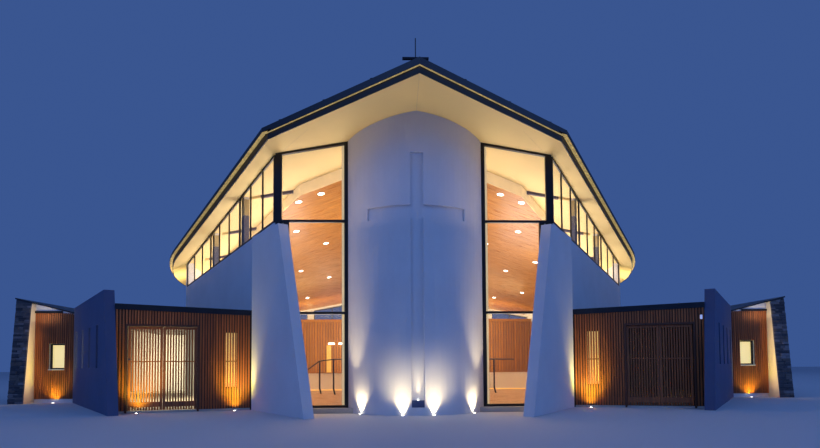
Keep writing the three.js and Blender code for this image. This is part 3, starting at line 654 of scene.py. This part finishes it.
def slat_rows(start, end, low, high):
    """Upright slats that fill a stretch of wall, with an even gap at both ends."""
    count = max(1, round((end - start) / SLAT["pitch"]))
    pitch = (end - start) / count
    edges = [start + pitch * (i + 0.5) - SLAT["width"] / 2 for i in range(count)]
    return [((edge, edge + SLAT["width"]), (-SLAT["proud"], SINK), (low, high)) for edge in edges]


def screen_slats(side, wall):
    under = lambda distance: low_roof(distance) - 0.003
    before, after = BESIDE_GATE
    rows = slat_rows(*before, SLAT_FOOT, under)
    rows += slat_rows(GATE["from"] - POST, GATE["to"] + POST, GATE["head"] + HEAD_BAR, under)
    rows += slat_rows(*after, SLAT_FOOT, under)
    bevel(wall_piece(f"{side}_screen_slats", wall, rows, BATTEN_TIMBER, "timber"), SLAT["round"])


def screen_posts(side, wall):
    """The rails between the slats, the posts and the head of the gateway, and the plinth."""
    start, end, head = GATE["from"], GATE["to"], GATE["head"]
    rows = [(ends, RAIL_DEPTHS, heights) for ends in BESIDE_GATE for heights in SCREEN_RAILS]
    for ends in ((start - POST, start), (end, end + POST)):
        rows.append((ends, POST_DEPTHS, (POST_FOOT, head + HEAD_BAR)))
    rows.append(((start, end), POST_DEPTHS, (head + SINK, head + HEAD_BAR)))
    bevel(wall_piece(f"{side}_screen_posts", wall, rows, DARK_TIMBER, "timber"), SLAT["round"])
    rows = [(ends, PLINTH_DEPTHS, (0.0, SLAT_FOOT - 0.006)) for ends in BESIDE_GATE]
    wall_piece(f"{side}_screen_plinth", wall, rows, CONCRETE, "concrete")


def screen_window(side, wall):
    ends = (SCREEN_WINDOW["from"], SCREEN_WINDOW["to"])
    heights = (SCREEN_WINDOW["sill"], SCREEN_WINDOW["head"])
    rows = frame_rows(ends, heights, **SCREEN_FRAME)
    wall_piece(f"{side}_screen_window_frame", wall, rows, DARK_FRAME, "dark_frame")
    # The blind glows: painted light from behind it
    row = (drawn_in(ends), SCREEN_BLIND_DEPTHS, drawn_in(heights))
    wall_piece(f"{side}_screen_blind", wall, [row], SCREEN_BLIND, "glass")


def wing_front(side):
    wall = wing_line(side)
    screen_slats(side, wall)
    screen_posts(side, wall)
    screen_window(side, wall)


def frame_rows(ends, heights, depths, width):
    """The four bars just inside an opening."""
    (start, end), (low, high) = ends, heights
    between = (start + width, end - width)
    return [
        ((start, between[0]), depths, heights),
        ((between[1], end), depths, heights),
        (between, depths, (low, low + width)),
        (between, depths, (high - width, high)),
    ]


def around_window(top, over):
    """The stretches of the side wall around its window: start, end, foot and head."""
    window = SIDE_WINDOW
    foot, head = SIDE_SLATS
    return (
        (SIDE_WALL["from"], window["from"], foot, top),
        (window["from"], window["to"], window["head"] + over, head),
        (window["from"], window["to"], foot, window["sill"] - SIDE_SILL["gap"]),
        (window["to"], SIDE_WALL["to"], foot, head),
    )


def under_side_roof(gap):
    return lambda x: min(SIDE_SLATS[1], side_roof(x) - 0.006) - gap


def side_slats(side, wall):
    rows = []
    for stretch in around_window(under_side_roof(0.0), 0.0):
        rows += slat_rows(*stretch)
    bevel(wall_piece(f"{side}_side_slats", wall, rows, BATTEN_TIMBER, "timber"), SLAT["round"])


def side_fascia(side, wall, ends, heights):
    """The dark fascia over the slats and the dark frame of the window, and the backing of the slats."""
    start = SIDE_ROOF["from"] + (SIDE_FASCIA - SIDE_ROOF["bottom"]) / SIDE_ROOF["slope"]
    fascia = ((start + 0.03, SIDE_WALL["to"]), (-0.05, SINK), (SIDE_SLATS[1], SIDE_FASCIA))
    rows = [fascia] + frame_rows(ends, heights, **SIDE_FRAME)
    wall_piece(f"{side}_side_fascia", wall, rows, DARK_FRAME, "dark_frame")
    around = around_window(under_side_roof(ROOF_GAP), TOUCH)
    rows = [((start, end), (-0.004, SINK), (low, high)) for start, end, low, high in around]
    wall_piece(f"{side}_side_backing", wall, rows, BACKING, "timber")


def side_window(side, wall, ends, heights):
    """The pale sill and the blind, which glows as painted light from behind it."""
    over, bottom, top = SIDE_SILL["over"], SIDE_SILL["bottom"], SIDE_SILL["top"]
    sill_ends = (SIDE_WINDOW["from"] - over, SIDE_WINDOW["to"] + over)
    row = (sill_ends, SIDE_SILL["depths"], (SIDE_WINDOW["sill"] - bottom, SIDE_WINDOW["sill"] + top))
    bevel(wall_piece(f"{side}_side_sill", wall, [row], PALE_TRIM, "render"), *SOFT_EDGE)
    row = (ends, SIDE_BLIND_DEPTHS, heights)
    wall_piece(f"{side}_side_blind", wall, [row], WINDOW_BLIND, "glass")


def side_front(side):
    """The short wall between the blade wall and the stone wall."""
    wall = WallLine((0, SIDE_WALL["y"]), 0, SIDES[side])
    ends = drawn_in((SIDE_WINDOW["from"], SIDE_WINDOW["to"]))
    heights = drawn_in((SIDE_WINDOW["sill"], SIDE_WINDOW["head"]))
    side_slats(side, wall)
    side_fascia(side, wall, ends, heights)
    side_window(side, wall, ends, heights)


# Split stone


def side_roof(x):
    return SIDE_ROOF["bottom"] + SIDE_ROOF["slope"] * (x - SIDE_ROOF["from"])


def stone_front(height):
    return STONE["front"] + STONE["rake"] * height


def block_stone(bm, rng, corners, outward):
    """One stone: a quad on the wall, pushed out unevenly, with its outer face drawn in."""
    middle = sum(corners, Vector()) / 4
    proud = rng.uniform(*STONE_FACES["proud"])
    outer = []
    for corner in corners:
        inward = (middle - corner).normalized() * rng.uniform(*STONE_FACES["drawn_in"])
        outer.append(corner + inward + outward * (proud + rng.uniform(*STONE_FACES["uneven"])))
    prism(bm, [corner - outward * 0.004 for corner in corners], outer)


def courses(rng, low, high):
    while low < high - 0.025:
        top = min(low + rng.uniform(*STONES["courses"]), high)
        yield low, top
        low = top


def stone_lengths(rng, start, end, shortest, longest):
    while start < end - 0.01:
        stop = start + rng.uniform(shortest, longest)
        if end - stop < shortest:
            stop = end
        yield start, stop
        start = stop


def stone_facing(side):
    sign = SIDES[side]
    rng = Random(STONE_SEED[side])
    bm = bmesh.new()
    inner, outer, back = STONE["inner"], STONE["outer"], STONE["back"]
    joint = STONES["joint"]
    for low, high in courses(rng, 0.0, side_roof(outer) - ROOF_GAP):
        a, b = low + joint, high - joint
        for start, end in stone_lengths(rng, stone_front(b), back, *STONES["lengths"]):
            ring = rectangle(start + joint, end - joint, a, b)
            block_stone(bm, rng, [place(sign * outer, y, z) for y, z in ring], Vector((sign, 0, 0)))
        for start, end in stone_lengths(rng, inner + 0.01, outer, *STONES["end_lengths"]):
            top = min(b, side_roof(start) - ROOF_GAP)
            if top - a > 0.015:
                ring = rectangle(start + joint, end - joint, a, top)
                front = [place(sign * x, stone_front(z), z) for x, z in ring]
                block_stone(bm, rng, front, Vector((0, -1, 0)))
                behind = [place(sign * x, back, z) for x, z in ring]
                block_stone(bm, rng, behind, Vector((0, 1, 0)))
    new_piece(f"{side}_stone_facing", bm, STONE_FACE, "stone")


def stone_lining(side):
    """Smooth plaster on the stone wall's inner face, in front of the slatted wall."""
    sign = SIDES[side]
    inner = STONE["inner"]
    top = side_roof(inner) - 0.012
    foot_front, top_front = stone_front(0) + SINK, stone_front(top) + SINK
    outline = [(foot_front, 0.0), (SIDE_WALL["y"], 0.0), (SIDE_WALL["y"], top), (top_front, top)]
    bm = bmesh.new()
    prism(bm, *([place(sign * x, y, z) for y, z in outline] for x in (inner, inner - 0.007)))
    new_piece(f"{side}_stone_lining", bm, WARM_PLASTER, "render")


# Inside the nave


def disc_piece(name, middles, radius, low, high, finish, slot):
    """A piece made of flat rounds. low and high give their heights from x and y."""
    bm = bmesh.new()
    for middle in middles:
        plate(bm, 1, circle(middle, radius, 20), low, high)
    new_piece(name, bm, finish, slot)


def downlights():
    middles = [(sign * x, y) for x, y in DOWNLIGHTS for sign in SIDES.values()]
    for name, radius, low, high, finish, slot in DOWNLIGHT_PARTS:
        low, high = over_soffit(low - CEILING["drop"]), over_soffit(high - CEILING["drop"])
        disc_piece(name, middles, radius, low, high, finish, slot)


def ceiling_tracks(side):
    """The tracks that run inwards from the piers, close under the soffit: pale, with a dark end."""
    pale = bmesh.new()
    dark = bmesh.new()
    for y, (end, change, start) in TRACKS:
        for bm, a, b in ((dark, end, change), (pale, change, start)):
            ring = rectangle(a, b, y, y + TRACK["width"])
            plate(bm, SIDES[side], ring, over_soffit(-TRACK["depth"]), over_soffit(TOUCH))
    new_piece(f"{side}_tracks", pale, CREAM_BOARD, "cream_board")
    new_piece(f"{side}_track_ends", dark, TRACK_END, "dark_frame")


def rear_slats():
    bm = bmesh.new()
    for sign in SIDES.values():
        wall = WallLine((0, REAR_WALL_FACE), 0, sign)
        start = REAR_LINING["start"]
        while start < REAR_LINING["half"]:
            wall.block(bm, (start, start + REAR_LINING["slat"]), (-0.09, -0.03), *REAR_LINING["heights"])
            start += REAR_LINING["pitch"]
    new_piece("rear_slats", bm, LINING_TIMBER, "timber")


def rear_lining():
    """Upright slats along the nave's back wall, with a lit shelf over them, two lamps and a pale panel that
    glows faintly as painted light.
    """
    rear_slats()
    ends = (-REAR_LINING["half"], REAR_LINING["half"])
    top = REAR_LINING["heights"][1]
    shelf_top = top + REAR_SHELF["thickness"]
    board = (ends, (REAR_SHELF["out"], SINK), (top, shelf_top))
    upstand = (ends, (REAR_SHELF["out"], REAR_SHELF["lip"]), (shelf_top, top + REAR_SHELF["top"]))
    half, depths, heights = REAR_LAMPS["half"], REAR_LAMPS["depths"], REAR_LAMPS["heights"]
    lamps = [((middle - half, middle + half), depths, heights) for middle in REAR_LAMPS["at"]]
    backing = (ends, (-0.03, SINK), REAR_LINING["heights"])
    cove = (ends, (-0.13, -0.05), (shelf_top, top + 0.09))
    wall = WallLine((0, REAR_WALL_FACE), 0, 1)
    wall_piece("rear_backing", wall, [backing], LINING_BACK, "timber")
    wall_piece("rear_shelf", wall, [board, upstand], LINING_TIMBER, "timber")
    wall_piece("rear_cove_light", wall, [cove], COVE_GLOW, "glass")
    wall_piece("rear_lamps", wall, lamps, LAMP, "glass")
    wall_piece("rear_panel", wall, [REAR_PANEL], GLOWING_PANEL, "render")


def nave_boards():
    """The timber floor of the nave, laid on its slab."""
    rear = REAR_WALL_FACE - 0.03
    half = [*BOARDS["front"], (BOARDS["front"][-1][0], rear), (0, rear)]
    bm = bmesh.new()
    for sign in SIDES.values():
        plate(bm, sign, half, flat(NAVE_FLOOR - SINK), flat(NAVE_FLOOR + BOARDS["thickness"]))
    new_piece("nave_boards", bm, FLOOR_TIMBER, "concrete")


def glowing_jamb_faces():
    """Thin glowing sheets on the inner jambs beside the curved wall: painted warm light."""
    bm = bmesh.new()
    top = lambda x: soffit(x, JAMB["y"]) - 0.003
    for side in SIDES.values():
        wall = WallLine((0, JAMB["y"]), 0, side)
        wall.block(bm, (JAMB["from"], JAMB["to"]), (-0.006, TOUCH), FLOOR_TOP, top)
    new_piece("glowing_jamb_faces", bm, JAMB_GLOW, "render")


def cross_foot():
    """The block with a lamp on it, at the foot of the recessed cross, in dark blue render as painted shade.
    """
    heights, top = CROSS_FOOT["heights"], CROSS_FOOT["heights"][1]
    front, back = CROSS_FOOT["front"], CROSS_FOOT["back"]
    row = ((-CROSS_FOOT["half"], CROSS_FOOT["half"]), (front, back), heights)
    # The dark blue render on the block is painted shade
    block = wall_piece("cross_foot_block", WallLine((0, 0), 0, 1), [row], GREY_RENDER, "grey_render")
    bevel(block, *SOFT_EDGE)
    middles, radius = [(0, (front + back) / 2)], CROSS_FOOT["lamp"]
    disc_piece("cross_foot_lamp", middles, radius, flat(top - SINK), flat(top + 0.008), LAMP, "glass")


def pier_shading(side):
    """Painted shading on the two piers behind the splayed high windows: painted shade below, painted warm
    light above.
    """
    wall = WallLine(CORNER, pi / 2 - SPLAY, SIDES[side])
    half = PIERS["half"]
    for part, shares, painted_shading in PIER_SHADING:
        rows = []
        for middle in PIERS["middles"]:
            x, y = CORNER[0] + middle * sin(SPLAY), CORNER[1] + middle * cos(SPLAY)
            low, rise = sill(y), soffit(x, y) - sill(y)
            heights = [low + share * rise for share in shares]
            rows.append(((middle - half, middle + half), PIERS["depths"], heights))
        bevel(wall_piece(f"{side}_pier_{part}", wall, rows, painted_shading, "render"), 0.003)


def low_wall_cap():
    """The timber cap of the low wall, and the lit strip at its foot."""
    wall = WallLine((0, LOW_WALL["y"]), 0, 1)
    over, top = LOW_WALL["over"], LOW_WALL["top"]
    ends = (-LOW_WALL["half"] - over, LOW_WALL["half"] + over)
    cap = (ends, (-over, LOW_WALL["thickness"] + over), (top - SINK, top + LOW_WALL["cap"]))
    bevel(wall_piece("low_wall_cap", wall, [cap], LINING_TIMBER, "timber"), 0.004)
    strip = (ends, (-0.03, SINK), (FLOOR_TOP, NAVE_FLOOR + 0.05))
    wall_piece("low_wall_foot_light", wall, [strip], FOOT_GLOW, "glass")


def tube(bm, start, end, radius):
    """A straight round bar between two points."""
    axis = (end - start).normalized()
    across = axis.cross(Vector((0, 0, 1)) if abs(axis.z) < 0.9 else Vector((1, 0, 0))).normalized()
    other = axis.cross(across)
    turn = [a * across + b * other for a, b in circle((0, 0), radius, 8)]
    prism(bm, [start + t for t in turn], [end + t for t in turn])


def handrails():
    """Slim dark rails inside the tall windows, on posts with a kicked foot."""
    radius, kick = RAIL_POST["radius"], RAIL_POST["kick"]
    foot = Vector(RAIL_POST["foot"])
    for name, route in HANDRAILS.items():
        bm = bmesh.new()
        for start, end in zip(route, route[1:]):
            tube(bm, place(*start), place(*end), RAIL_RADIUS)
        for x, y, z in route[1:-1]:
            tube(bm, place(x, y, NAVE_FLOOR + kick), place(x, y, z), radius)
            tube(bm, place(x, y, NAVE_FLOOR + kick + 0.01), place(x, y, NAVE_FLOOR) + foot, radius)
        new_piece(name, bm, DARK_FRAME, "dark_frame")


def gate_lock():
    """A round lock on the left gate's outer leaf."""
    wall = wing_line("left")
    ring = circle((GATE["to"] - LOCK["from_edge"], LOCK["height"]), LOCK["radius"], 16)
    bm = bmesh.new()
    prism(bm, *([wall.point(s, depth, z) for s, z in ring] for depth in LOCK["depths"]))
    new_piece("left_gate_lock", bm, STEEL, "dark_frame", "left_outer_leaf")


def wing_lamp():
    """A small wall lamp beside the right gate, and its cap."""
    wall = wing_line("right")
    bevel(wall_piece("right_wing_lamp", wall, [WING_LAMP], WALL_LAMP, "glass"), 0.01, 2)
    wall_piece("right_wing_lamp_cap", wall, [WING_LAMP_CAP], STEEL, "dark_frame")


def uplight_places():
    """Each uplight with its side, on both sides or on the left only."""
    for uplight in UPLIGHTS:
        for sign in SIDES.values():
            if sign < 0 or uplight is not LEFT_ONLY:
                yield sign, uplight


def ground_lamps():
    """The small uplights that stand at the foot of the walls."""
    middles = [(sign * x, y) for sign, ((x, y), *_) in uplight_places()]
    disc_piece("uplight_cans", middles, 0.045, flat(0.0), flat(0.01), STEEL, "dark_frame")
    disc_piece("uplight_lenses", middles, 0.03, flat(0.005), flat(0.014), LAMP, "glass")


def window_row(row):
    """The start and the end of each window in a row."""
    for i in range(row["count"]):
        start = row["first"] + i * row["pitch"]
        yield start, start + row["width"]


def flank_bars(bm, sign):
    wall = FLANK_WINDOWS["wall"]
    for start, end in window_row(FLANK_WINDOWS):
        for y0, y1 in upright_bars(start, end, 2):
            ring = rectangle(*FLANK_DEPTHS, y0, y1)
            plate(bm, sign, ring, lambda x, y: sill(y), lambda x, y: soffit(wall, y) - 0.11)
        ring = rectangle(*FLANK_DEPTHS, start, end)
        plate(bm, sign, ring, lambda x, y: sill(y) - TOUCH, lambda x, y: sill(y) + WINDOW_BAR)
        plate(bm, sign, ring, over_soffit(-0.17), over_soffit(-0.118))


def rear_bars(bm, sign):
    foot = REAR_WINDOWS["sill"]
    head = lambda drop: lambda x, y: soffit(x, sum(REAR_DEPTHS) / 2) - REAR_WINDOWS["head"] - drop
    for start, end in window_row(REAR_WINDOWS):
        for x0, x1 in upright_bars(start, end, 1):
            plate(bm, sign, rectangle(x0, x1, *REAR_DEPTHS), flat(foot), head(SINK))
        ring = rectangle(start, end, *REAR_DEPTHS)
        plate(bm, sign, ring, flat(foot), flat(foot + WINDOW_BAR))
        plate(bm, sign, ring, head(WINDOW_BAR + 0.005), head(0.003))


def outer_window_frames(side):
    """Slim frames in the high windows of the flank and of the back."""
    bm = bmesh.new()
    flank_bars(bm, SIDES[side])
    rear_bars(bm, SIDES[side])
    new_piece(f"{side}_high_window_bars", bm, DARK_FRAME, "dark_frame")


def upright_bars(start, end, inner):
    """The two jambs of an opening and evenly spaced bars between them."""
    yield start, start + WINDOW_BAR
    for i in range(1, inner + 1):
        middle = start + (end - start) * i / (inner + 1)
        yield middle - WINDOW_BAR / 2, middle + WINDOW_BAR / 2
    yield end - WINDOW_BAR, end


def sill(y):
    return SILL_FRONT - SILL_FALL * y


# Stage


def build_camera():
    forward = Vector((sin(YAW) * cos(PITCH), cos(YAW) * cos(PITCH), sin(PITCH)))
    level = Vector((cos(YAW), -sin(YAW), 0))
    upright = level.cross(forward)
    right = cos(ROLL) * level + sin(ROLL) * upright
    up = cos(ROLL) * upright - sin(ROLL) * level
    data = bpy.data.cameras.new("camera")
    data.lens = FOCAL_PIXELS * data.sensor_width / IMAGE_WIDTH
    data.shift_y = PRINCIPAL_BELOW_CENTRE / IMAGE_WIDTH
    camera = add_object("camera", data)
    turn = Matrix((right, up, -forward)).transposed().to_4x4()
    camera.matrix_world = Matrix.Translation(place(*EYE)) @ turn
    bpy.context.scene.camera = camera


def build_floor():
    bm = bmesh.new()
    bmesh.ops.create_grid(bm, x_segments=1, y_segments=1, size=120)
    floor = mesh_object("floor", bm, material("floor", (0.6, 0.61, 0.63), 0.9))
    floor.location.z = -SINK


def build_world():
    world = bpy.data.worlds.new("studio")
    world.use_nodes = True
    background = world.node_tree.nodes["Background"]
    background.inputs["Color"].default_value = (*DUSK_BLUE, 1)
    background.inputs["Strength"].default_value = DUSK_STRENGTH
    bpy.context.scene.world = world


def light(name, kind, location, energy, colour, **settings):
    data = bpy.data.lights.new(name, kind)
    data.energy = energy
    data.color = colour
    for key, value in settings.items():
        setattr(data, key, value)
    lamp = add_object(name, data)
    lamp.location = location
    return lamp


def aim(lamp, target):
    lamp.rotation_euler = (Vector(target) - lamp.location).to_track_quat("-Z", "Y").to_euler()


WARM = (1.0, 0.68, 0.32)
CREAM_LIGHT = (1.0, 0.78, 0.42)
PALE_LIGHT = (0.97, 0.9, 0.84)
UP_LIGHT = (0.97, 0.88, 0.8)
GOLD = (1.0, 0.8, 0.05)
SKY_BLUE = (0.215, 0.415, 1.0)

# The studio's large lights, in the frame: place, target, energy and size
STUDIO = {
    "key": ((-22, -34, 24), (0, -4, 3), 2250, 18),
    "fill": ((26, -26, 18), (0, -4, 3), 1650, 18),
    "back": ((6, 44, 26), (0, 8, 3), 2600, 20),
}

# Soft lights of each side, from the front glazing: name, place, size, energy, colour and the way they face
NAVE_LIGHTS = (
    ("nave_side", (3.5, 3.6, 3.2), (0.8, 1.6), 70, PALE_LIGHT, (0.25, 0, 1)),
    ("nave_side", (5.9, 7.4, 3.2), (0.8, 1.6), 70, PALE_LIGHT, (0.25, 0, 1)),
    ("nave_cove", (4.6, 19.4, 3.1), (4.5, 0.6), 110, CREAM_LIGHT, (0, 0.15, 1)),
    ("nave_rear", (4.2, 18.5, 2.2), (5.0, 1.5), 220, WARM, (0, 1, 0)),
)
SOFFIT_FRONT = (("soffit_front", (1.9, -1.3, 4.2), (1.8, 0.5), 7, WARM, (0.1, -0.1, 1)),)
SOFFIT_BACK = (("soffit_back", (9.2, 9.7, 3.9), (0.4, 3.8), 85, CREAM_LIGHT, (0.05, 0, 1)),)
LEFT_PORCH = (
    ("porch", (7.4, 4.4, 2.3), (2.5, 3.0), 170, CREAM_LIGHT, (0, 0, -1)),
    ("porch_under", (7.4, 4.6, 0.7), (2.5, 2.5), 60, CREAM_LIGHT, (0, 0, 1)),
    ("beside", (7.6, 3.2, 1.3), (1.2, 1.5), 45, WARM, (-0.6, 0.8, 0)),
    ("room", (10.4, 9.6, 1.4), (2.5, 1.8), 110, CREAM_LIGHT, (0, 1, 0)),
)
WING_END_LIGHTS = (
    ("lining", (11.8, 4.45, 1.45), (0.2, 2.3), 4.6, WARM, (0.3, -0.02, 0)),
    ("gable", (11.75, 4.5, 2.72), (0.5, 0.1), 1.6, CREAM_LIGHT, (0, 0.5, 0.4)),
)
BLADE_BAY = (("blade_bay", (9.4, 3.7, 2.3), (0.4, 0.4), 4, WARM, (0, 0, -1)),)

# Narrow lights, from the front glazing: name, place, target, energy, cone in degrees and radius
CROSS_BEAM = (("cross_beam", (0, -0.975, 0.365), (0, -0.913, 1.545), 45, 26, 0.01),)
CROSS_GLOW = (("cross_glow", (0.45, -1.9, 0.06), (0.42, -0.95, 0.7), 60, 60, 0.1),)
SIDE_SPOTS = (
    ("fin_back", (4.62, 0.84, 0.06), (4.42, 0.89, 1.06), 95, 60, 0.06),
    ("apse_wash", (1.8, -0.75, 0.1), (1.55, -0.3, 2.2), 180, 38, 0),
)
WASH = {"cone": 76, "radius": 0.05}

# Lights under the soffit along the splayed wall: distance, and energy
SOFFIT_SIDE = ((1.2, 1.2), (3.6, 1.4), (6.0, 1.8), (8.8, 2.4))
NAVE_LAMPS = {"at": ((2.6, 3.0), (4.0, 8.0), (5.0, 14.0)), "size": (2.5, 2.5), "up": 155, "down": 98}


def area_light(name, location, size, energy, colour, facing):
    """A soft rectangle of light. size is its width and depth."""
    lamp = light(name, "AREA", location, energy, colour, shape="RECTANGLE", size=size[0], size_y=size[1])
    aim(lamp, location + Vector(facing))
    lamp.visible_camera = False


def spot_light(name, location, target, energy, cone, radius, colour=CREAM_LIGHT):
    lamp = light(name, "SPOT", location, energy, colour, spot_size=radians(cone), spot_blend=1.0)
    lamp.data.shadow_soft_size = radius
    aim(lamp, target)


def side_areas(rows, sign):
    for name, (x, y, z), size, energy, colour, (outward, back, up) in rows:
        area_light(name, place(sign * x, y, z), size, energy, colour, (sign * outward, back, up))


def side_spots(rows, sign):
    for name, (x, y, z), (target_x, target_y, target_z), energy, cone, radius in rows:
        target = place(sign * target_x, target_y, target_z)
        spot_light(name, place(sign * x, y, z), target, energy, cone, radius)


def studio_lights():
    for name, (location, target, energy, size) in STUDIO.items():
        aim(light(name, "AREA", location, energy, SKY_BLUE, size=size), target)


def nave_lights(sign):
    size = NAVE_LAMPS["size"]
    for x, y in NAVE_LAMPS["at"]:
        area_light("nave_up", place(sign * x, y, 1.4), size, NAVE_LAMPS["up"], UP_LIGHT, (0, 0, 1))
        under = place(sign * x, y, soffit(x, y) - 0.5)
        area_light("nave_down", under, size, NAVE_LAMPS["down"], WARM, (0, 0, -1))
    side_areas(NAVE_LIGHTS, sign)


def soffit_lights(sign):
    """Warm light on the soffit, from the heads of the walls."""
    side_areas(SOFFIT_FRONT, sign)
    wall = WallLine(CORNER, pi / 2 - SPLAY, sign)
    for distance, energy in SOFFIT_SIDE:
        foot = wall.point(distance, -0.35, sill(distance * 0.85) - 0.1)
        area_light("soffit_side", foot, (2.0, 0.1), energy, CREAM_LIGHT, (0.2 * sign, -0.1, 1))
    side_areas(SOFFIT_BACK, sign)


def wing_lights(sign):
    if sign < 0:
        side_areas(LEFT_PORCH, sign)
    side_areas(WING_END_LIGHTS, sign)
    side_spots(SIDE_SPOTS, sign)
    side_areas(BLADE_BAY, sign)


def foot_lights():
    for sign, ((x, y), energy, (aside, back), cone, wash) in uplight_places():
        lens, target = place(sign * x, y, 0.02), place(sign * (x + aside), y + back, BEAM_HEIGHT)
        colour = GOLD if wash else CREAM_LIGHT
        spot_light("uplight", lens, target, energy, cone, 0.015, colour)
        if wash:
            before, low = place(sign * x, y - 0.5, 0.05), place(sign * x, y + 0.2, 0.9)
            spot_light("timber_wash", before, low, wash, WASH["cone"], WASH["radius"], GOLD)


def cross_lights():
    """The narrow beam in the recess of the cross, and the soft glow beside it."""
    side_spots(CROSS_BEAM, 1)
    for sign in SIDES.values():
        side_spots(CROSS_GLOW, sign)


def build_lights():
    studio_lights()
    cross_lights()
    for sign in SIDES.values():
        nave_lights(sign)
        soffit_lights(sign)
        wing_lights(sign)
    foot_lights()


finish_nodes()
ridge_roll()
soffit_joints()
for side in SIDES:
    for build in (
        roof_edge_strip, roof_edge_face, roof_seams, glowing_ceiling_edge, wing_front, side_front,
        stone_facing, stone_lining, ceiling_tracks, pier_shading, outer_window_frames,
    ):
        build(side)
for build in (
    downlights, rear_lining, nave_boards, low_wall_cap, glowing_jamb_faces, cross_foot,
    handrails, gate_lock, wing_lamp, ground_lamps,
):
    build()
build_camera()
build_floor()
build_world()
build_lights()
bpy.context.scene.view_settings.view_transform = "Standard"
